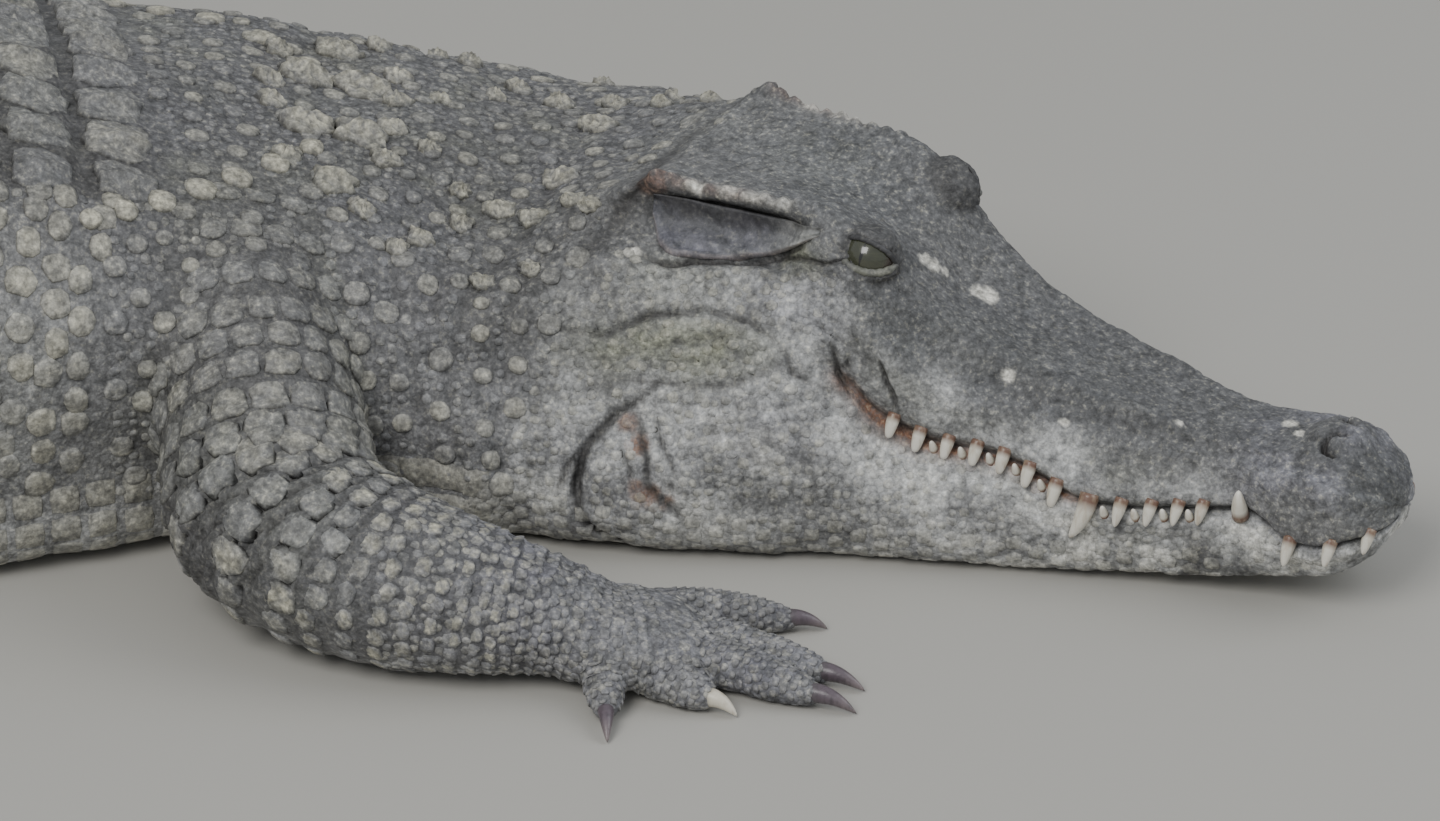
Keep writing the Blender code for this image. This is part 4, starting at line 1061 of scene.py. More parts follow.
def lay_scales(name, centre, along, normal, half_length, half_width, rise, tone, marks, root, spokes=10,
               radii=(.55, .86, 1.0), power=2.3, keel=0.0, lean=0.0, sink=.0014, rough=.05, crust=0.0,
               spot=0.0, reach=.012, salt=1):
    """One mesh of closed scales. Height over the skin: rise (1 - 0.5 r^2) + keel exp(-(across / 0.24)^2)
    + lean along + crust noise, and minus sink at the rim; the outline is a superellipse of the given power.
    The tone fades towards the rim, and with spot it stays in the middle only."""
    count = len(centre)
    random = np.random.default_rng(salt)
    half_length, half_width, rise, tone, keel, lean, power = (
        np.broadcast_to(x, (count,))[:, None]
        for x in (half_length, half_width, rise, tone, keel, lean, power))
    normal = unit(normal)
    along = unit(along - (along * normal).sum(-1, keepdims=True) * normal)
    across = np.cross(normal, along)
    r, angle, faces = dish(spokes, radii)
    rim = r >= .999
    bulge = (np.abs(np.cos(angle)) ** power + np.abs(np.sin(angle)) ** power) ** (-1 / power)
    wobble = 1 + rough * random.uniform(-1, 1, (count, spokes))
    wobble = np.concatenate([np.ones((count, 1)), np.tile(wobble, (1, len(radii))), np.ones((count, 1))], 1)
    p = r * np.cos(angle) * bulge * wobble
    q = r * np.sin(angle) * bulge * wobble
    flat = (centre[:, None] + (p * half_length)[..., None] * along[:, None]
            + (q * half_width)[..., None] * across[:, None])
    laid = drawn_to_skin(flat.reshape(-1, 3)).reshape(flat.shape)
    ring = laid[:, 1 + spokes * (len(radii) - 1):-1] - laid[:, :1]
    face = unit(np.cross(ring, np.roll(ring, -1, axis=1)).sum(1))
    keep = (np.linalg.norm(laid[:, 0] - centre, axis=-1) < reach) & ((face * normal).sum(-1) > .35)
    nub = random.uniform(-1, 1, (count, len(r))) * ~rim
    ridge = keel * (np.exp(-(q / .24) ** 2) * (1 - .6 * p ** 2) * ~rim)
    high = rise * (1 - .5 * r ** 2) + ridge + lean * p * ~rim + crust * nub
    high = np.where(rim, -sink, high)
    high[:, -1] = -1.3 * sink
    points = (laid + high[..., None] * face[:, None])[keep]
    points[..., 2] = np.maximum(points[..., 2], SCALE_GAP)
    piece = make_piece(name, *repeated(points, faces))
    fade = (1 - .55 * r ** 3) * (1 - spot * np.ones((count, 1)) * ramp(r, .45, .80))
    shade = tone * fade * (1 + (.75 if crust > 0 else .15) * nub)
    colours = np.repeat(marks[:, None], len(r), 1)
    colours[..., 7] = np.clip(shade, 0, 1)
    # painted shade between the scales: the dark mark is mostly taken off each scale's top and raised to at
    # least .8 on its sunk rim
    colours[..., 3] = np.maximum(colours[..., 3] * np.where(rim, .85, .25 * r ** 2), np.where(rim, .80, 0))
    finish_coat(piece, colours[keep], root[keep], np.stack([p, q], -1)[keep])
    print(f"{name}: {len(points)} scales, {len(piece.data.polygons)} triangles")
    return points[:, 0]


def body_root(s, w):
    """The place of (s, w) on an unwrap of the body's own shape: along the spine and round the body."""
    return np.stack([.01 + .98 * s / LENGTH, .01 + .98 * (w + KEEL_LINE) / (2 * KEEL_LINE)], -1)


def surface_here(s, w):
    """The relief's point, the step tailward and the normal at (s, w)."""
    spot, along, normal = body_frame(s, w)
    height = relief(s, w, spot) - crease_depth(spot) - curve(s, COAT_DEPTH)
    return tip_rounded(s, spot + height[:, None] * normal), along, normal


# %% Rows of scales round the body
def rows_round(stations, first, last, width, slant=0.0, brick=True):
    """Even rows: at each station, scales about width wide from line first to line last on both sides.
    Returns s, w and the half-width that fills the row."""
    v = np.linspace(0, KEEL_LINE, 141)
    found = []
    for k, s in enumerate(stations):
        wide, high = outline(np.full(len(v), s), v)
        along = np.concatenate([[0], np.cumsum(np.hypot(np.diff(wide), np.diff(high)))])
        a, b = (np.interp(x, v, along) for x in (first, last))
        count = max(int(round((b - a) / (width(s) if callable(width) else width))), 1)
        shift = .5 if brick and k % 2 else 0.0
        at = a + (np.arange(count + (shift > 0)) + .5 - shift) * (b - a) / count
        line = np.interp(np.clip(at, a, b), along, v)
        half = np.full(len(line), (b - a) / count / 2)
        found += [np.stack([s + slant * (line - first), side * line, half], -1) for side in (-1, 1)]
    return np.concatenate(found).T


def whorls(first, last):
    """The middles of the cross rows from one number to another, counted from the head."""
    return HEAD_END + WHORL * (np.arange(first, last) + .5)


def both_sides(rows):
    """Columns of a list of (s, w, ...) rows, each row once on the right and once on the left."""
    return np.array([(s, side * w, *rest) for s, w, *rest in rows for side in (-1, 1)]).T


def body_scales(name, s, w, half_length, half_width, rise, tone, **shape):
    """Lay scales at (s, w) places of the body, with the body's own markings."""
    centre, along, normal = surface_here(s, w)
    return lay_scales(name, centre, along, normal, half_length, half_width, rise, tone,
                      body_marks(s, w, centre), body_root(s, w), **shape)


# %% The coat of the trunk and the tail
random = np.random.default_rng(7)
THICK = {"spokes": 20, "sink": .003}
FLAT = {"spokes": 8, "sink": .0010}

# back: cross rows of keeled shields, widest in the middle of the trunk
s, w, half = rows_round(whorls(7, 26), 0, 1.95, .050, brick=False)
edge = np.abs(w) / 1.95
size = 1 - .25 * edge ** 3
body_scales("shields_of_the_back", s + .002 * random.normal(size=len(s)), w, .0262 * size, half * .96 * size,
            .0035, .04 + .30 * random.random(len(s)) ** 2, radii=(.22, .5, .8, .93, 1.0), power=3.6,
            keel=.0085 - .004 * edge, lean=.0022, rough=.13, crust=.0009, salt=2, **THICK)

# nape: four large shields in a square, one at each side of them, and smaller ones up to the skull
NAPE = ((.828, .36, .0235, .0205), (.868, .34, .0215, .0190), (.847, .90, .0190, .0165),
        (.803, .20, .0120, .0110), (.806, .58, .0125, .0110), (.886, .70, .0120, .0115),
        (.895, .14, .0120, .0110), (.822, 1.25, .0110, .0100), (.664, .42, .0150, .0130),
        (.702, .88, .0120, .0110), (.668, 1.05, .0115, .0105), (.732, 1.12, .0110, .0100),
        (.607, 1.21, .0090, .0085), (.634, .95, .0085, .0080), (.774, .36, .0090, .0080),
        (.786, 2.05, .0095, .0090), (.645, 2.30, .0090, .0085), (.766, 1.73, .0110, .0100),
        (.690, 2.60, .0090, .0085), (.742, .70, .0085, .0080))
s, w, long, wide = both_sides(NAPE)
body_scales("shields_of_the_nape", s, w, long, wide, .0035 + .12 * wide, .62, power=2.4, keel=.40 * wide,
            radii=(.18, .36, .54, .72, .90, 1.0), lean=.002, rough=.22, crust=.0015, reach=.02, salt=3,
            **THICK)

# flank: oval scales in oblique rows, the pale ones like beads
s, w, half = rows_round(np.arange(1.035, 2.03, .0235), 1.95, 5.05, .027, slant=.014)
s = s + .0034 * random.normal(size=len(s))
w = w + .035 * random.normal(size=len(s))
light = np.clip(.30 + .55 * random.random(len(s)) + .25 * lumps(body_point(s, w), .06, 51), .1, 1)
body_scales("scales_of_the_flank", s, w, .0088 + .0038 * random.random(len(s)), half * .86, .0022, light,
            power=2.4, rough=.10, lean=.0006, salt=4)

# belly and throat: flat square scales
s, w, half = rows_round(np.arange(.66, 2.03, .0265), 5.1, 6.98, .027, brick=False)
body_scales("scales_of_the_belly", s, w, .0125, half * .95, .0012, .55, radii=(.8, 1.0), power=6.0, salt=5,
            **FLAT)
s, w, half = rows_round(np.arange(.12, .66, .0150), 5.35, 6.9, .0145)
body_scales("scales_of_the_throat", s, w, .0070, half * .93, .0009, .35, radii=(.75, 1.0), power=4.0, salt=6,
            **FLAT)

# tail: one row of tall oblong scales to each whorl
TAIL_WIDTH = ((2.0, .034), (3.0, .0255), (4.0, .01292))
s, w, half = rows_round(np.append(whorls(25, 60), (3.970, 3.986)), .95, 6.6,
                        lambda s: np.interp(s, *np.transpose(TAIL_WIDTH)), brick=False)
v = np.abs(w)
light = np.clip(.05 + .45 * ramp(v, 3.5, 6.5) + .20 * random.random(len(s)), 0, 1)
body_scales("scales_of_the_tail", s, w, np.where(s > 3.95, .0105, .0262), half * .96, .0022, light,
            spokes=16, radii=(.55, .9, 1.0), power=5.0, lean=.0012, salt=7, reach=.02,
            keel=.0035 * fall(v, 3, 5) * (1 - .5 * ramp(s, 2.6, 3.6)))
s, w, half = rows_round(whorls(25, 42), 0, .95, .036, brick=False)
body_scales("scales_of_the_tail_top", s, w, .0262, half * .95, .0026, .05 + .2 * random.random(len(s)),
            spokes=16, radii=(.3, .6, .9, 1.0), power=4.0, keel=.0045, lean=.0015, rough=.07, sink=.002,
            salt=9, reach=.02)

# %% [markdown]
# ## Scales strewn evenly
# On the neck and the cheeks the scales follow no rows. Places for them are picked on the skin's
# triangles, one in each box of a lattice, and the crowded ones are taken out. A place carries the weights
# of its triangle's corners, so that it inherits the skin's markings and its (s, w) exactly.

# %% Even places on a region of the skin
triangles = fetch(skin.data.polygons, "vertices", 3)
corner_a, corner_b, corner_c = (skin_points[triangles[:, k]] for k in range(3))
face_normals = np.cross(corner_b - corner_a, corner_c - corner_a)
face_areas = np.linalg.norm(face_normals, axis=1) / 2
face_normals = unit(face_normals)
on_limb = np.zeros(len(skin_points))
limb_step = np.zeros((len(skin_points), 3))
for number, (name, (close, t, turn, out)) in enumerate(leg_near.items(), 1):
    good = (np.abs(out) < .012) & (np.abs(skin_out[close]) > .008)
    on_limb[close[good]] = number
    at = np.clip((t[good] * (LEG_STEPS - 1)).round().astype(int), 0, LEG_STEPS - 1)
    limb_step[close[good]] = ring_axes(LEG_ROWS[name])[0][at]


def search_tree(points):
    """A search tree of points, numbered in their order."""
    tree = mathutils.kdtree.KDTree(len(points))
    for number, spot in enumerate(points):
        tree.insert(spot, number)
    tree.balance()
    return tree


def strewn(wanted, spacing, salt):
    """Evenly spread places: random ones by area, the one nearest each lattice box's middle, then thinned so
    that none is nearer to an earlier one than 0.72 of the spacing. Gives triangles, weights and points."""
    pick = np.nonzero(wanted[triangles].all(1))[0]
    random = np.random.default_rng(salt)
    count = int(face_areas[pick].sum() / spacing ** 2 * 14)
    face = random.choice(pick, count, p=face_areas[pick] / face_areas[pick].sum())
    u, v = random.random((2, count))
    fold = u + v > 1
    u, v = np.where(fold, 1 - u, u), np.where(fold, 1 - v, v)
    weights = np.stack([1 - u - v, u, v], 1)
    points = (weights[:, :, None] * skin_points[triangles[face]]).sum(1)
    box = np.floor(points / spacing)
    order = np.argsort(np.linalg.norm(points / spacing - box - .5, axis=1))
    key = (box[order] @ np.array([1.0, 4096.0, 4096.0 ** 2])).astype(np.int64)
    first = random.permutation(order[np.unique(key, return_index=True)[1]])
    tree = search_tree(points[first])
    alive = np.ones(len(first), bool)
    for number, index in enumerate(first):
        if alive[number]:
            for spot, other, far in tree.find_range(points[index], .72 * spacing):
                if other > number:
                    alive[other] = False
    first = first[alive]
    tree = search_tree(points[first])
    room = np.array([np.mean([far for spot, other, far in tree.find_n(points[index], 5)][1:])
                     for index in first])
    return face[first], weights[first], points[first], room


def strewn_scales(name, wanted, spacing, light, salt, fill=.5, rise=.0009, avoid=None, **shape):
    """Lay scales on even places of the skin; each takes its size from the room round it."""
    face, weights, points, room = strewn(wanted, spacing, salt)
    if avoid is not None:
        tree = search_tree(avoid[0])
        clear = np.array([tree.find(spot)[2] for spot in points]) > avoid[1] + .35 * spacing
        face, weights, points, room = face[clear], weights[clear], points[clear], room[clear]
    mixed = (weights[:, :, None] * marks[triangles[face]]).sum(1)
    s = (weights * skin_s[triangles[face]]).sum(1)
    corner = triangles[face][:, 0]
    angle = spine_at(s)[2]
    along = -np.stack([np.cos(angle), np.sin(angle), np.zeros(len(s))], -1)
    limb = on_limb[corner] > 0
    along[limb] = limb_step[corner][limb]
    random = np.random.default_rng(salt + 1)
    size = fill * np.minimum(room, 1.25 * spacing) * random.uniform(.88, 1.08, len(room))
    low, high = light
    tone = low + (high - low) * random.random(len(size)) ** 1.5
    tone = np.clip(tone + .18 * lumps(points, .05, salt), 0, 1)
    root = body_root(s, skin_w[corner])
    root = np.where(limb[:, None], (root + .37) % 1.0, root)
    wide = size * random.uniform(.86, 1.0, len(size))
    height = rise * random.uniform(.7, 1.3, len(size))
    placed = lay_scales(name, points, along, face_normals[face], size, wide, height, tone, mixed, root,
                        salt=salt, **shape)
    return placed, size.mean()


# %% Neck and shoulder: round pale beads, well apart, with small dark ones between
v = np.abs(skin_w)
off_limb = on_limb == 0
neck_skin = (skin_s > .592) & (skin_s < 1.10) & (v < 5.3) & off_limb & ~((skin_s > .985) & (v < 1.9))
neck_skin &= crease_depth(skin_points) < .0030
neck_skin &= ~((skin_s > 1.045) & (v > 2.0) & (skin_out < .02))
beads, bead_size = strewn_scales("beads_of_the_neck", neck_skin, .0290, (.14, .62), 61, fill=.285,
                                 rise=.0024, spokes=12, rough=.06, sink=.002)
strewn_scales("grains_of_the_neck", neck_skin, .0095, (.0, .16), 63, fill=.46, rise=.0009,
              radii=(.7, 1.0), rough=.12, avoid=(beads, bead_size), **FLAT)

# %% A slanting row of big cream scales from the nape to the shoulder
GIRDLE = ((.994, 1.76, .0115), (.962, 1.32, .0125), (.930, 1.04, .0125), (.896, .80, .0120),
          (.866, .60, .010), (1.022, 2.10, .010), (1.048, 2.45, .009))
s, w, size = both_sides(GIRDLE)
body_scales("scales_of_the_girdle", s, w, size, size, .0045, .95, spokes=16, radii=(.3, .6, .87, 1.0),
            power=2.2, rough=.05, sink=.003, reach=.02, salt=8)

# %% Cheek, jaw and the back of the head: a close mosaic
head_skin = (skin_s > .035) & (skin_s < .60) & (crease_depth(skin_points, 2.0) < .0010)
for centre, gaze, ahead, above in EYES.values():
    head_skin &= np.linalg.norm(skin_points - centre, axis=1) > .034
ear = (skin_s > .425) & (skin_s < .565) & (v > 1.25) & (v < 2.75)
jaw = head_skin & (v > 4.22) & (v < 5.5)
cheek = head_skin & ~ear & (v > 2.6) & (v < 3.75) & (skin_s > .40)
corner = head_skin & (v > 3.7) & (v < 4.25) & (skin_s > .44)
crown = head_skin & (v < 2.3) & (skin_s > .565)
strewn_scales("scales_of_the_jaw", jaw | cheek | corner | crown, .0088, (.0, .42), 67, fill=.50, rise=.0006,
              spokes=8, radii=(.72, 1.0), rough=.16, sink=.0009)

# %% [markdown]
# ## Scales of the legs
# On a leg the scales go round in cross bands: large lozenges on the upper arm and the thigh, smaller ones
# towards the wrist, and narrow rows on the back of the hand and on each toe. Each band is an ellipse
# round the leg's path, cut into equal lengths, and every second band is shifted by half a scale.

# %% Bands round a leg or a toe
def bands(rows, stations, width, lowest=-.75):
    """Places on ellipses round a path: centres, ways ahead, normals, t, angles round, and half-widths."""
    way = np.linspace(0, 1, len(rows))
    dense = np.linspace(0, 2 * np.pi, 181)
    found = []
    for k, t in enumerate(stations):
        row, *axes = (np.array([np.interp(t, way, column) for column in table.T])
                      for table in (rows, *ring_axes(rows)))
        ahead, level, upright = (unit(axis) for axis in axes)
        x, y = row[3] * np.cos(dense), row[4] * np.sin(dense)
        along = np.concatenate([[0], np.cumsum(np.hypot(np.diff(x), np.diff(y)))])
        count = max(int(round(along[-1] / width(t))), 5)
        turn = np.interp((np.arange(count) + .5 * (k % 2)) / count * along[-1], along, dense)
        turn = turn[np.sin(turn) > lowest]
        across, up = np.cos(turn)[:, None] * level, np.sin(turn)[:, None] * upright
        centre = row[:3] + row[3] * across + row[4] * up
        normal = unit(across / row[3] + up / row[4])
        one = np.ones(len(turn))
        found.append(np.column_stack([centre, one[:, None] * ahead, normal, t * one, turn,
                                      along[-1] / count / 2 * one]))
    found = np.concatenate(found)
    return found[:, :3], found[:, 3:6], found[:, 6:9], *found[:, 9:].T


def steps(first, last, spacing):
    """Stations from first to last whose gaps follow a spacing that depends on the station."""
    found = [first]
    while found[-1] < last:
        found.append(found[-1] + spacing(found[-1]))
    return np.array(found[:-1])


LEG_SPACING = {"fore": ((0, .0210), (.30, .0250), (.44, .0285), (.52, .0260), (.62, .0180), (.70, .0145),
                        (.80, .0088), (1, .0075)),
               "hind": ((0, .0240), (.45, .0220), (.60, .0170), (.75, .0130), (.85, .0105), (1, .0100))}


def leg_scales(name, number):
    """The scales of one leg and of its toes."""
    rows = LEG_ROWS[name]
    kind = name.split("_")[0]
    table = LEG_SPACING[kind]
    stations = steps(.06, .955, lambda t: float(curve(t, table)) / path_length(rows))
    centre, along, normal, t, turn, half = bands(rows, stations, lambda t: 1.12 * float(curve(t, table)))
    random = np.random.default_rng(number + 90)
    spacing = curve(t, table)
    spread = .30 * hill(t, .52, .07) * np.clip((1.6 - turn) / 1.6, 0, 1) * (kind == "fore")
    half_length = spacing * (.49 + .49 * spread) * random.uniform(.93, 1.05, len(t))
    hand, upper = ramp(t, .74, .84), fall(t, .44, .56)
    fore = (1 - upper) * (1 - hand)
    light = .06 + .30 * random.random(len(t)) ** 2 + .42 * fore * (random.random(len(t)) > .55)
    light = light + .35 * hill(turn, 3.3, .5) * upper + .10 * lumps(centre, .05, 77)
    light = np.clip(light * (1 - .45 * hand) * (1 - .25 * upper), 0, 1)
    half_width = half * (1 + .2 * spread) * random.uniform(.94, 1.03, len(t))
    centre = centre + (.10 * spacing * (1 - upper) * random.normal(size=len(t)))[:, None] * along
    root = body_root(np.full(len(t), .5), np.zeros(len(t)))
    root = (root + np.stack([.17 * t + .2 * number, turn / 14], -1)) % 1.0
    lay_scales("scales_of_the_" + name, centre, along, normal, half_length, half_width,
               .0018 - .0009 * fore - .0008 * hand, light, leg_marks(t, turn, centre), root, spokes=12,
               radii=(.45, .84, 1.0), power=2.9 + 1.7 * upper + .5 * hand, keel=.0009 * upper,
               lean=.0011 * (1 - .5 * hand), rough=.11, crust=.00025, spot=.75 * fore[:, None], sink=.0016,
               reach=.013, salt=number + 20)
    gap = .0062 if name == "fore_right" else .0095
    parts = [bands(row, np.arange(.26, .97, gap / path_length(row)), lambda t: 1.5 * gap, lowest=-.35)
             for row in TOE_ROWS[name]]
    centre, along, normal, t, turn, half = (np.concatenate(part) for part in zip(*parts))
    light = np.clip(.04 + .20 * random.random(len(t)), 0, 1)
    root = (root[:1] + np.stack([.05 * t, turn / 40], -1)) % 1.0
    lay_scales("scales_of_the_toes_of_" + name, centre, along, normal, .54 * gap, half * .95, .0012, light,
               leg_marks(.9 + .1 * t, turn, centre), root, spokes=8, radii=(.7, 1.0), power=3.0,
               lean=.0008, rough=.06, sink=.0009, reach=.007, salt=number + 30)


for number, name in enumerate(LEGS):
    leg_scales(name, number)

# %% [markdown]
# ## Eyes, lids and ears
# An eye is a ball of full size with a clear bulge in front. Each point carries its direction from the
# ball's middle, measured in the eye's own axes, and the shader draws the iris and the upright slit from
# it. A roll of skin follows each lid's edge. The ear is a hinged flap: a leaf that lies on the body below
# the skull's edge.

# %% The eyes
EYE_RINGS, EYE_SIDES = 36, 48


def eyeball(name, centre, gaze, ahead, above):
    """A ball about the gaze: radius R (1 + 0.045 exp(-(angle / 0.5)^2)) at each angle from the gaze."""
    angle, turn = np.meshgrid(np.linspace(.02, np.pi - .02, EYE_RINGS), circle(EYE_SIDES), indexing="ij")
    angle, turn = np.append(angle.ravel(), [0, np.pi]), np.append(turn.ravel(), [0, 0])
    look = np.stack([np.sin(angle) * np.cos(turn), np.sin(angle) * np.sin(turn), np.cos(angle)], -1)
    far = EYE_RADIUS * (1 + .045 * hill(angle, 0, .5))
    points = centre + far[:, None] * (look @ np.array([ahead, above, gaze]))
    piece = make_piece(name, *joined([(points, tube_faces(EYE_RINGS, EYE_SIDES))]))
    paint(piece, "look", np.column_stack([look, np.ones(len(look))]))
    return piece


eyeballs = [eyeball("eyeball_" + word, *EYES[word]) for word in EYES]

# %% The rolls along the lids
LID_STEPS, LID_SIDES = 40, 10


def strengths(shape, **given):
    """An array of the eight marks from the ones that are given; the others are zero."""
    return np.stack([np.broadcast_to(given.get(mark, 0.0), shape) for mark in MARKS], -1)


def lid_rolls():
    """A closed roll round each eye's opening, thicker below, as one mesh with marks for its colours."""
    half = np.sin(np.linspace(-np.pi / 2, np.pi / 2, LID_STEPS))
    lap = np.concatenate([half, half[::-1][1:-1]])
    below = np.arange(len(lap)) >= LID_STEPS
    rise = np.where(below, *lid_line(lap)[::-1])
    along = lap * LID_HALF_LENGTH
    low, front = ramp(-rise, -.05, .25), ramp(lap, .93, .99)
    size = (.0020 + .0009 * low) * (1 + .12 * np.sin(lap * 31 + 2 * below))
    turn = circle(LID_SIDES)
    parts = []
    for centre, gaze, ahead, above in EYES.values():
        d = (np.cos(rise) * np.cos(along))[:, None] * gaze + (np.cos(rise) * np.sin(along))[:, None] * ahead
        d = d + np.sin(rise)[:, None] * above
        path = centre + (EYE_RADIUS + .0012) * d
        step = unit(np.roll(path, -1, 0) - np.roll(path, 1, 0))
        side = unit(np.cross(step, d))
        ring = np.cos(turn)[:, None] * side[:, None] + np.sin(turn)[:, None] * d[:, None]
        points = path[:, None] + size[:, None, None] * ring
        parts.append((points.reshape(-1, 3), grid_faces(len(lap), LID_SIDES, wrap_rows=True)))
    piece = make_piece("lids", *joined(parts))
    colours = strengths(lap.shape, pale=.08 * low, olive=.50 * low * (1 - front), dark=.42 * (1 - low) + .22,
                        slate=.75 * (1 - low) + .2, white=.9 * front * low)
    colour_in(piece, np.tile(np.repeat(colours, LID_SIDES, 0), (len(EYES), 1)))
    return piece


lids = lid_rolls()

# %% The ear flaps
EAR_LOW = ((.424, 1.62), (.440, 1.93), (.460, 2.22), (.485, 2.52), (.510, 2.74), (.526, 2.76),
           (.541, 2.50), (.554, 1.85))
EAR_STEPS, EAR_ACROSS = 64, 22


def ear_flaps():
    """A leaf on each side from the skull's edge down to its free lower edge, rounded and a little lifted."""
    q = np.linspace(0, 1, EAR_ACROSS)
    over = np.concatenate([q, q[::-1][1:-1]])
    inner = np.tile(np.arange(len(over)) >= EAR_ACROSS, EAR_STEPS)
    station = np.linspace(EAR_LOW[0][0], EAR_LOW[-1][0], EAR_STEPS)
    top = 1.42 + .10 * np.sin(np.pi * np.arange(EAR_STEPS) / (EAR_STEPS - 1))
    end = band(station, station[0], station[0] + .012, station[-1] - .018, station[-1])
    s, top, low, end = (np.repeat(x, len(over)) for x in (station, top, curve(station, EAR_LOW), end))
    down = np.tile(over, EAR_STEPS)
    v = top + down * (low - top)
    soft = np.clip(1 - down ** 8, 0, 1) ** .5
    lift = (.0020 + .0068 * down - .0030 * down ** 2) * soft * (.25 + .75 * end)
    parts = []
    for side in (-1, 1):
        spot, along, normal = body_frame(s, side * v)
        base = np.maximum(relief(s, side * v, spot) - curve(s, COAT_DEPTH), -.0075)
        ripple = (.0006 * np.sin(down * 11 + s * 150) + .0010 * lumps(spot, .014, 72)) * soft
        sheet = spot + (base + np.where(inner, -.0030, lift + ripple))[:, None] * normal
        ends = [sheet[:len(over)].mean(0), sheet[-len(over):].mean(0)]
        parts.append((np.concatenate([sheet, ends]), tube_faces(EAR_STEPS, len(over))))
    points, faces = joined(parts)
    piece = make_piece("ear_flaps", points, faces)
    edge = np.tile(np.concatenate([down, [0, 0]]), 2)
    front = np.tile(fall(np.concatenate([s, station[[0, -1]]]), .435, .475), 2)
    cloud = lumps(points, .018, 71)
    # painted shadow along the flap's top under the skull's edge; the flap itself is dark, a little lighter
    # in front and towards its lower edge
    dark = .30 + .50 * fall(edge, .12, .45) - .25 * front - .12 * ramp(edge, .5, .9) + .15 * cloud
    colour_in(piece, strengths(edge.shape, pale=.30 * front + .22 * ramp(edge, .86, .97), olive=.45 * front,
                               rust=.22 * ramp(edge, .88, .98), dark=dark, slate=.80 - .4 * front,
                               lavender=.40 + .3 * cloud))
    return piece


ears = ear_flaps()

# %% [markdown]
# ## Teeth and claws
# A crocodile's teeth are stout curved cones of bone white; a claw is a curved horn that grows out of a
# cuff of skin. Both are rings round a path, and every tooth goes into one mesh, as every dark claw does.

# %% The teeth
TOOTH_LENGTH = ((0, .009), (.03, .013), (.06, .015), (.09, .010), (.14, .012), (.185, .014), (.207, .028),
                (.225, .014), (.27, .012), (.36, .010))
NOTCH_TOOTH = (.104, .030)
SMALL_TEETH = (.138, .155, .174, .195, .243, .263, .283, .303, .323)
TOOTH_RINGS, TOOTH_SIDES = 12, 14


def horn(start, tip, radius, bow, blunt, rings=TOOTH_RINGS, sides=TOOTH_SIDES):
    """Rings from start to tip whose middle bows aside, with radius (1 - t^1.6)^blunt, and two end points."""
    t = np.linspace(0, 1, rings, endpoint=False)
    path = start + t[:, None] * (tip - start) + (4 * t * (1 - t))[:, None] * bow
    ahead = unit(np.gradient(path, axis=0))
    first = unit(np.cross(ahead, UPWARD if abs(unit(tip - start)[2]) < .8 else FORWARD))
    second = np.cross(ahead, first)
    size = (radius * (1 - t ** 1.6) ** blunt)[:, None]
    turn = circle(sides)
    ring = (size * np.cos(turn))[..., None] * first[:, None]
    ring = ring + (size * np.sin(turn))[..., None] * second[:, None]
    points = np.concatenate([(path[:, None] + ring).reshape(-1, 3), start[None], tip[None]])
    return points, tube_faces(rings, sides), np.append(np.repeat(t, sides), [0, 1])


def joined_horns(name, horns):
    """One mesh of several horns, with how far along its horn each point is in a colour attribute."""
    piece = make_piece(name, *joined([(points, faces) for points, faces, way in horns]))
    way = np.concatenate([way for points, faces, way in horns])
    number = np.concatenate([np.full(len(horn[0]), (k * .618) % 1.0) for k, horn in enumerate(horns)])
    paint(piece, "way", np.column_stack([way, number, way, way]))
    return piece


def all_teeth():
    """Upper teeth that hang from the lip and lean out, and the lower tooth that stands in each notch."""
    random = np.random.default_rng(17)
    horns = []

    def add(s, out, up, tip_s, tip_out, tip_up, radius, bow, blunt):
        wide, high = outline(s, LIP_LINE)
        for side in (-1, 1):
            start = place(s, side * (wide + out), high + up)
            tip = place(tip_s, side * (wide + tip_out), high + tip_up)
            horns.append(horn(start, tip, radius, bow[0] * side * LEFTWARD + bow[1] * FORWARD, blunt))

    for s in UPPER_TEETH:
        length = float(curve(s, TOOTH_LENGTH)) * random.uniform(.92, 1.04)
        large = length > .02
        rear = float(ramp(s, .21, .24))
        radius = (.0033 + .14 * length) * (1 + .06 * rear)
        add(s, -.0035, .0060, s + (.38 if large else .10) * length, .10 * length + .0042, -length,
            radius, (.10 * length, .10 * length * large), .60 - .20 * rear)
    for s in SMALL_TEETH:
        add(s, -.0020, -.0090, s + .001, .0022, .0008, .0034, (0, 0), .5)
    s, length = NOTCH_TOOTH
    add(s, -.0010, -.006, s, .0060, length - .012, .0028 + .12 * length, (.0015, 0), .6)
    return joined_horns("teeth", horns)


teeth = all_teeth()

# %% The claws
CLAW_RINGS, CLAW_SIDES = 16, 18


def claw_horn(row, length):
    """A horn that carries a toe on from inside its end and hooks down to just above the floor."""
    level = unit(unit(row[-1, :3] - row[-3, :3]) * (1, 1, 0))
    start = row[-1, :3] - .45 * length * level + (0, 0, .0015)
    tip = row[-1, :3] + length * level
    tip[2] = .0012
    return horn(start, tip, row[-1, 3] * 1.02, (0, 0, .0046), .75, CLAW_RINGS, CLAW_SIDES)


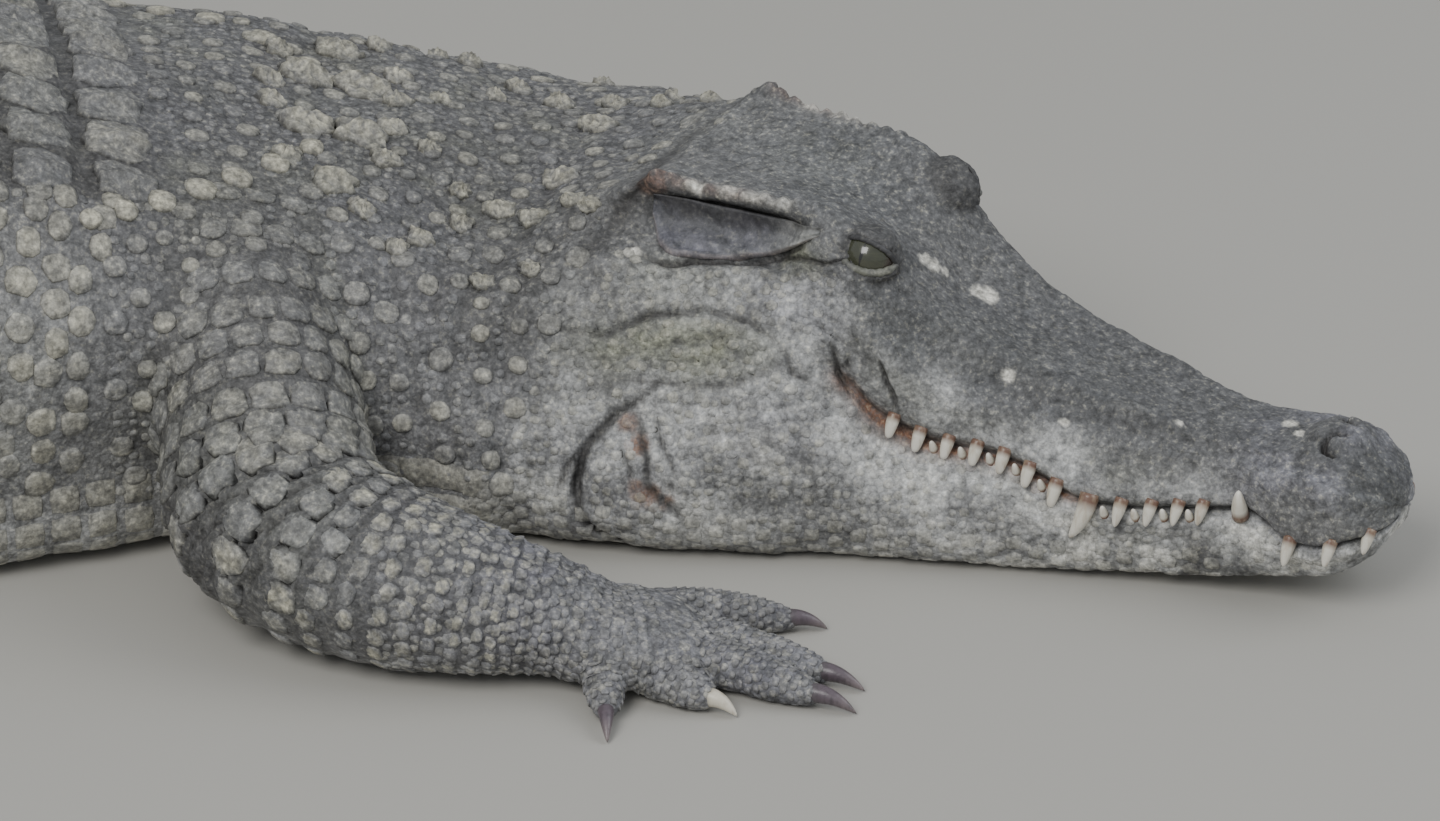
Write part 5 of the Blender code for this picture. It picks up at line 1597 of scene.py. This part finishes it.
dark_claws, pale_claws, dark_nodes, pale_nodes = [], [], [], []
for name, (path, sole, side, toes, webs, voxel) in LEGS.items():
    for number, toe in enumerate(toes, 1):
        if toe[5] > 0:
            pale = name == "fore_right" and number == 4
            (pale_claws if pale else dark_claws).append(claw_horn(TOE_ROWS[name][number - 1], toe[5]))
            (pale_nodes if pale else dark_nodes).append(f"{name}_claw_{number}")
claws = joined_horns("claws", dark_claws)
pale_claw = joined_horns("pale_claw", pale_claws)
print("claws:", len(dark_claws), "dark,", len(pale_claws), "pale; teeth:", len(teeth.data.polygons),
      "triangles")

# %% [markdown]
# ## The crest of the tail
# Two rows of upright plates run along the base of the tail and close up into one row, one plate to each
# whorl. A plate is a flattened cone that leans tailward, so its outline from the side is the tooth of a
# saw.

# %% Crest plates
CREST_HEIGHT = ((1.9, 0), (2.15, .012), (2.7, .030), (3.0, .055), (3.5, .060), (3.9, .035), (4.0, .01))
ROWS_APART = ((1.9, 2.5, 3.0, 3.1), (.055, .034, .010, 0))
PLATE_RINGS, PLATE_SIDES = 9, 16
PLATE_ROOT = .009


def crest_plates():
    """Plates of the crest: an ellipse at the foot that narrows and slides tailward up to a thin tip."""
    s = HEAD_END + WHORL * (np.arange(25, 61) + .42)
    s = s[s < LENGTH - .035]
    both = np.interp(s, *ROWS_APART) > .004
    side = np.concatenate([np.where(both, -1, 0), np.ones(both.sum())])
    s = np.concatenate([s, s[both]])
    apart = np.interp(s, *ROWS_APART) * side
    height = np.maximum(curve(s, CREST_HEIGHT) * .93, .010)[:, None]
    v = np.zeros(len(s))
    for turn in range(4):
        v = v + (np.abs(apart) - outline(s, v)[0]) / np.maximum(np.interp(s, SPINE_S, WIDE[1]), .004)
        v = np.clip(v, 0, 1.2)
    w = np.where(apart < 0, -v, v)
    foot = body_point(s, w)
    turn = spine_at(s)[2]
    back = -np.stack([np.cos(turn), np.sin(turn), 0 * turn], -1)
    left = np.stack([-np.sin(turn), np.cos(turn), 0 * turn], -1)
    up = unit(UPWARD + .20 * side[:, None] * left)
    t = np.linspace(0, 1, PLATE_RINGS, endpoint=False)
    angle = circle(PLATE_SIDES)
    narrow = (1 - t ** 1.5) ** .9
    long = .0335 * np.interp(s, (1.9, 3.4, 4.0), (1, 1, .75))[:, None]
    thick = .0052 * np.interp(s, (1.9, 2.6, 4.0), (1.3, 1, .45))[:, None]
    slide = (.95 * long * t ** 1.5)[..., None]
    spots = sum(steps[..., None] * axis[:, None, None] for steps, axis in (
        ((long * narrow)[..., None] * np.cos(angle) + slide, back),
        ((thick * narrow)[..., None] * np.sin(angle), left),
        (((height + PLATE_ROOT) * t - PLATE_ROOT)[..., None] * np.ones(PLATE_SIDES), up)))
    spots = (foot[:, None, None] + spots).reshape(len(s), -1, 3)
    tips = foot + height * up + .96 * long * back
    points = np.concatenate([spots, (foot - PLATE_ROOT * up)[:, None], tips[:, None]], 1)
    faces = outward(points[0], tube_faces(PLATE_RINGS, PLATE_SIDES))
    piece = make_piece("crest_plates", *repeated(points, faces))
    way = np.append(np.repeat(t, PLATE_SIDES), [0, 1])
    colours = np.repeat(body_marks(s, w, foot)[:, None], len(way), 1)
    colours[..., 7] = .10 + .25 * way
    # painted shade at the foot of each plate, where it meets the tail
    colours[..., 3] = np.maximum(colours[..., 3], .6 * fall(way, .0, .25))
    spread = np.tile(np.stack([np.cos(angle), np.sin(angle)], -1), (PLATE_RINGS, 1))
    spread = np.concatenate([spread * (1 - .8 * way[:-2])[:, None], np.zeros((2, 2))])
    finish_coat(piece, colours, body_root(s, w), spread)
    print("crest plates:", len(s))


crest_plates()

# %% [markdown]
# ## The finish of the hide
# Crocodile hide is matt and dusty, mottled at every size from a hand's breadth to a grain of sand. A
# painted texture could show that, but shader noise on the object's own coordinates needs no picture and
# has no seams. One node group does it for skin and scales alike: the eight strengths go in, and a colour,
# a roughness and a height for the bump come out.

# %% Small helpers for shader node trees
def node(tree, kind, values=None, **settings):
    """Add a node, set its properties, and set or link its inputs."""
    made = tree.nodes.new(kind)
    for key, value in settings.items():
        setattr(made, key, value)
    for key, value in (values or {}).items():
        if isinstance(value, bpy.types.NodeSocket):
            tree.links.new(value, made.inputs[key])
        else:
            made.inputs[key].default_value = value
    return made


def maths(tree, operation, a, b=0.0, c=0.0, clamp=False):
    """The output of a Math node."""
    return node(tree, "ShaderNodeMath", {0: a, 1: b, 2: c}, operation=operation, use_clamp=clamp).outputs[0]


def fused(tree, a, by, plus):
    """The output of a Math node that gives a by + plus."""
    return maths(tree, "MULTIPLY_ADD", a, by, plus)


def beyond(tree, a, b, gain):
    """How far a is over b, times a gain, from 0 to 1."""
    return maths(tree, "MULTIPLY", maths(tree, "SUBTRACT", a, b, clamp=True), gain, clamp=True)


def blend(tree, share, under, over, mode="MIX"):
    """The output of a colour Mix node; under and over are colours or sockets."""
    under, over = ((*value, 1) if isinstance(value, tuple) else value for value in (under, over))
    return node(tree, "ShaderNodeMix", {0: share, 6: under, 7: over}, data_type="RGBA", blend_type=mode,
                clamp_factor=True).outputs[2]


def stretch(tree, value, start, end, low=0.0, high=1.0):
    """The output of a Map Range node, from low at start to high at end."""
    return node(tree, "ShaderNodeMapRange", {0: value, 1: start, 2: end, 3: low, 4: high}).outputs[0]


def new_group(name, inputs, outputs):
    """A shader group with named sockets, and its input node; give links values to its outputs."""
    group = bpy.data.node_groups.new(name, "ShaderNodeTree")
    for label, value in inputs.items():
        kind = "NodeSocketColor" if isinstance(value, tuple) else "NodeSocketFloat"
        socket = group.interface.new_socket(label, in_out="INPUT", socket_type=kind)
        socket.default_value = value
    for label in outputs:
        kind = "NodeSocketColor" if label == "Colour" else "NodeSocketFloat"
        group.interface.new_socket(label, in_out="OUTPUT", socket_type=kind)
    return group, group.nodes.new("NodeGroupInput").outputs


def give(tree, **values):
    """Link values to the outputs of a shader group."""
    result = tree.nodes.new("NodeGroupOutput")
    for label, value in values.items():
        tree.links.new(value, result.inputs[label])
    return tree


def noise(tree, spot, scale, detail=2.0, rough=.5):
    """The grey output of a noise texture, about .5 on average."""
    values = {"Vector": spot, "Scale": scale, "Detail": detail, "Roughness": rough}
    return node(tree, "ShaderNodeTexNoise", values, noise_dimensions="3D").outputs[0]


def attribute(tree, name):
    """The four parts of a colour attribute."""
    layer = node(tree, "ShaderNodeAttribute", attribute_name=name, attribute_type="GEOMETRY")
    split = node(tree, "ShaderNodeSeparateColor", {"Color": layer.outputs["Color"]})
    return [*split.outputs[:3], layer.outputs["Alpha"]]


def new_material(name, **settings):
    """A material and its node tree; settings are values of the shader's sockets."""
    material = bpy.data.materials.new(name)
    material.use_nodes = True
    for label, value in settings.items():
        material.node_tree.nodes["Principled BSDF"].inputs[label.replace("_", " ")].default_value = value
    return material, material.node_tree


def dress(tree, group, values, bump=0.0, distance=0.0):
    """Add a group with its values to a material: its outputs feed the shader, its height by a Bump node."""
    shader = tree.nodes["Principled BSDF"]
    made = node(tree, "ShaderNodeGroup", node_tree=group)
    for label, value in values.items():
        if isinstance(value, bpy.types.NodeSocket):
            tree.links.new(value, made.inputs[label])
        else:
            made.inputs[label].default_value = value
    tree.links.new(made.outputs["Colour"], shader.inputs["Base Color"])
    if bump:
        values = {"Height": made.outputs["Height"], "Strength": bump, "Distance": distance}
        tree.links.new(made.outputs["Roughness"], shader.inputs["Roughness"])
        tree.links.new(node(tree, "ShaderNodeBump", values).outputs["Normal"], shader.inputs["Normal"])


# %% The shared hide group
GREY, SLATE, PALE = (.158, .158, .156), (.104, .108, .116), (.455, .46, .455)
OLIVE, RUST, LAVENDER = (.225, .232, .165), (.235, .115, .070), (.235, .235, .285)
# the last colour is that of the dark mark: real dark patches, and painted shade in creases, hollows, cracks
# and between scales
CREAM, WHITE, CREASE = (.44, .42, .33), (.78, .76, .68), (.022, .020, .019)


def hide_group():
    """Eight strengths to a colour: base grey, then each mark mixed over it, broken up by noise."""
    inputs = {label.capitalize(): 0.0 for label in MARKS} | dict(Mottle=1.0, Pebble=1.0, Grain=1.0)
    tree, given = new_group("hide", inputs, ("Colour", "Roughness", "Height"))
    spot = node(tree, "ShaderNodeTexCoord").outputs["Object"]
    wide = noise(tree, spot, 16, 3)
    small = noise(tree, spot, 62, 4, .6)
    middle = noise(tree, spot, 125, 4, .7)
    fine = noise(tree, spot, 260, 4, .65)
    edge = node(tree, "ShaderNodeTexVoronoi", {"Vector": spot, "Scale": 190.0}, feature="DISTANCE_TO_EDGE")
    edge = edge.outputs[0]
    patchy = fused(tree, small, 2.4, -.35)
    colour = GREY
    for label, by, over in (("Slate", fused(tree, wide, 1.2, .4), SLATE), ("Lavender", patchy, LAVENDER),
                            ("Olive", patchy, OLIVE), ("Pale", fused(tree, small, 1.6, .1), PALE),
                            ("Rust", fused(tree, fine, 2.6, -.4), RUST),
                            ("Tone", fused(tree, fine, 1.2, .35), CREAM)):
        colour = blend(tree, maths(tree, "MULTIPLY", given[label], by, clamp=True), colour, over)
    # mottling: dark and light flecks of two sizes
    for flecks, over in ((beyond(tree, fine, .54, 3.2), CREAM), (beyond(tree, .50, small, 3.0), SLATE)):
        colour = blend(tree, maths(tree, "MULTIPLY", flecks, given["Mottle"]), colour, over)
    colour = blend(tree, given["White"], colour, WHITE)
    # painted shade in the cracks between the pebbles, then the dark mark, both mixed towards the dark colour
    painted_pit_shade = maths(tree, "MULTIPLY", beyond(tree, .16, edge, 3.2), given["Pebble"], clamp=True)
    for deep, by in ((painted_pit_shade, .55), (given["Dark"], .92)):
        colour = blend(tree, maths(tree, "MULTIPLY", deep, by), colour, CREASE)
    grain = maths(tree, "MULTIPLY", fused(tree, middle, 2.1, -.05), fused(tree, fine, 1.5, .25))
    grain = maths(tree, "POWER", maths(tree, "MAXIMUM", grain, .12), given["Grain"])
    grey = node(tree, "ShaderNodeCombineColor", {"Red": grain, "Green": grain, "Blue": grain}).outputs[0]
    height = fused(tree, fine, .55, fused(tree, edge, given["Pebble"], 0.0))
    return give(tree, Colour=blend(tree, 1.0, colour, grey, "MULTIPLY"),
                Roughness=fused(tree, fine, .30, .45), Height=fused(tree, small, .40, height))


HIDE = hide_group()


def hide_material(name, mottle, pebble, bump, grain=1.0):
    """A matt hide material: the two attributes feed the group, and the group feeds the shader."""
    material, tree = new_material(name, Specular_IOR_Level=.35)
    marks = [label.capitalize() for label in MARKS]
    values = dict(zip(marks, attribute(tree, "marks_a") + attribute(tree, "marks_b")))
    dress(tree, HIDE, values | dict(Mottle=mottle, Pebble=pebble, Grain=grain), bump, .0012)
    return material


skin.data.materials.clear()
skin.data.materials.append(hide_material("hide of the skin", .75, .8, .9, 1.25))

# %% [markdown]
# ## The finish of eyes, teeth and claws
# Each of these materials reads its piece's own attribute: the eye its directions, a horn the way along it.

# %% Eye, tooth and claw
def iris_group():
    """Directions on the ball to a colour: brown outside, an olive ring of fine rays, and a black slit."""
    tree, given = new_group("iris", dict(Ahead=0.0, Above=0.0, Front=0.0), ("Colour", "Height"))
    ahead, above = given["Ahead"], given["Above"]
    across = node(tree, "ShaderNodeCombineXYZ", {"X": ahead, "Y": above, "Z": 0.0}).outputs[0]
    rays = node(tree, "ShaderNodeVectorMath", {0: across}, operation="NORMALIZE").outputs[0]
    far = node(tree, "ShaderNodeVectorMath", {0: across}, operation="LENGTH").outputs["Value"]
    cloud = noise(tree, across, 5, 3)
    colour = blend(tree, noise(tree, rays, 9, 3), (.026, .030, .016), (.078, .080, .042))
    colour = blend(tree, maths(tree, "MULTIPLY", cloud, .8), colour, (.024, .027, .018))
    colour = blend(tree, stretch(tree, far, .72, .84), colour, (.030, .020, .014))
    width = fused(tree, maths(tree, "MULTIPLY", above, above), -.30, .055)
    slit = maths(tree, "SUBTRACT", width, maths(tree, "ABSOLUTE", ahead))
    colour = blend(tree, stretch(tree, slit, -.012, .012), colour, (.004, .004, .004))
    return give(tree, Colour=colour, Height=cloud)


def horn_group():
    """How far along a horn to a colour and a roughness: root, middle, tip, streaks and stains. Which horn it
    is, the Number input, is not used.
    """
    colours = dict(Root=(.3, .2, .12, 1), Body=(.6, .55, .45, 1), Tip=(.7, .66, .55, 1),
                   Stain=(.2, .12, .07, 1))
    tree, given = new_group("horn", dict(Way=0.0, Number=0.0) | colours, ("Colour", "Roughness", "Height"))
    spot = node(tree, "ShaderNodeTexCoord").outputs["Object"]
    fine = noise(tree, spot, 420, 4, .6)
    long = node(tree, "ShaderNodeVectorMath", {0: spot, 1: (1, 1, .25)}, operation="MULTIPLY").outputs[0]
    streak = noise(tree, long, 260, 3)
    way = given["Way"]
    colour = blend(tree, stretch(tree, way, .55, .95), given["Body"], given["Tip"])
    colour = blend(tree, stretch(tree, way, .14, .34, 1.0, 0.0), colour, given["Root"])
    colour = blend(tree, beyond(tree, streak, .48, 2.6), colour, given["Stain"])
    return give(tree, Colour=colour, Roughness=fused(tree, fine, .35, .22),
                Height=maths(tree, "ADD", fine, streak))


IRIS, HORN = iris_group(), horn_group()


def eye_material():
    """A wet eye: the iris under a clear coat."""
    material, tree = new_material("wet eye", Roughness=.25, Coat_Weight=1.0, Coat_Roughness=.03)
    dress(tree, IRIS, dict(zip(("Ahead", "Above", "Front"), attribute(tree, "look"))))
    return material


def horn_material(name, root, body, tip, stain, bump, coat):
    """Bone or horn from the shared group, with its own four colours."""
    material, tree = new_material(name, Coat_Weight=coat, Coat_Roughness=.2)
    values = dict(zip(("Way", "Number"), attribute(tree, "way")))
    for label, value in (("Root", root), ("Body", body), ("Tip", tip), ("Stain", stain)):
        values[label] = (*value, 1)
    dress(tree, HORN, values, bump, .0006)
    return material


for piece in eyeballs:
    piece.data.materials.append(eye_material())
for piece, material in (
        (teeth, horn_material("tooth", (.17, .095, .065), (.70, .67, .58), (.80, .77, .69),
                              (.42, .34, .24), .3, .3)),
        (claws, horn_material("claw horn", (.085, .075, .080), (.105, .082, .098), (.20, .165, .165),
                              (.040, .034, .038), .6, .25)),
        (pale_claw, horn_material("pale claw horn", (.30, .27, .22), (.62, .58, .48), (.72, .68, .58),
                                  (.36, .30, .22), .5, .2)),
        (lids, hide_material("hide of the lids", .45, .3, .5)),
        (ears, hide_material("hide of the ear flaps", .5, .25, .6))):
    piece.data.materials.append(material)

# %% [markdown]
# ## What each piece stands for
# The skin takes the place of every node of flesh, and each bare piece that of its own. All ride on the
# one root body.

# %% Riding and replacing
flesh = [n for n in frame["nodes"] if not (n.startswith("eye") or "claw" in n or n.startswith("ear"))]
for piece in COAT:
    piece.data.materials.append(hide_material("hide of " + piece.name, .75, .5, .8, 1.2))
for piece in (skin, *eyeballs, lids, ears, teeth, claws, pale_claw, *COAT):
    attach(piece, "root")
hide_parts(*flesh)
for word, piece in zip(EYES, eyeballs):
    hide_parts("eye_" + word)
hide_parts("ear_flap_right", "ear_flap_left")
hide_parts(*dark_nodes)
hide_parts(*pale_nodes)

# %% [markdown]
# ## The camera, the floor and the light
# The camera stands where the animal was seen from: about three and a half metres off, a little ahead of
# the eye and looking down on it through a long lens. The floor is plain and pale, and two large soft lights
# and a pale sky light it evenly.

# %% The camera
CAMERA_FROM_EYE = (-.7574, -3.0432, 1.5307)
CAMERA_LENS = 121.92
LOOK = (12.0, -27.851)


def set_camera():
    """A long-lens camera at a fixed offset from the right eye, turned LOOK degrees from +Y and up."""
    data = bpy.data.cameras.new("camera")
    data.lens = CAMERA_LENS
    data.sensor_width = 36.0
    data.clip_start = .1
    data.clip_end = 60
    camera = bpy.data.objects.new("camera", data)
    camera.location = EYES["right"][0] + np.array(CAMERA_FROM_EYE)
    camera.rotation_euler = (math.radians(90 + LOOK[1]), 0, math.radians(-LOOK[0]))
    bpy.context.scene.collection.objects.link(camera)
    bpy.context.scene.camera = camera


set_camera()


# %% The floor and the light
def soft_light(name, spot, aim, size, power, colour):
    """A square area light at a spot, turned towards its aim."""
    data = bpy.data.lights.new(name, "AREA")
    data.size = size
    data.energy = power
    data.color = colour
    light = bpy.data.objects.new(name, data)
    light.location = spot
    way = mathutils.Vector(aim) - mathutils.Vector(spot)
    light.rotation_euler = way.to_track_quat("-Z", "Y").to_euler()
    bpy.context.scene.collection.objects.link(light)


FLOOR_HALF, FLOOR_DROP = 14, .0004


def pale_floor():
    """A wide flat floor just under the animal, of matt pale grey."""
    corners = FLOOR_HALF * np.array([[-1, -1, 0], [1, -1, 0], [1, 1, 0], [-1, 1, 0]], float)
    floor = make_piece("floor", corners - (0, 0, FLOOR_DROP), np.array([[0, 1, 2, 3]]), smooth=False)
    floor.data.materials.append(new_material("floor", Base_Color=(.40, .39, .36, 1), Roughness=.85)[0])


pale_floor()
soft_light("key", (-1.5, -3.0, 4.5), (.6, -.1, 0), 3.0, 210, (1.0, .99, .97))
soft_light("fill", (4.5, -1.0, 3.0), (.4, 0, 0), 3.0, 60, (.93, .96, 1.0))
world = bpy.data.worlds.new("pale sky")
world.use_nodes = True
sky = world.node_tree.nodes["Background"]
sky.inputs["Color"].default_value = (.93, .96, 1.0, 1)
sky.inputs["Strength"].default_value = .55
bpy.context.scene.world = world
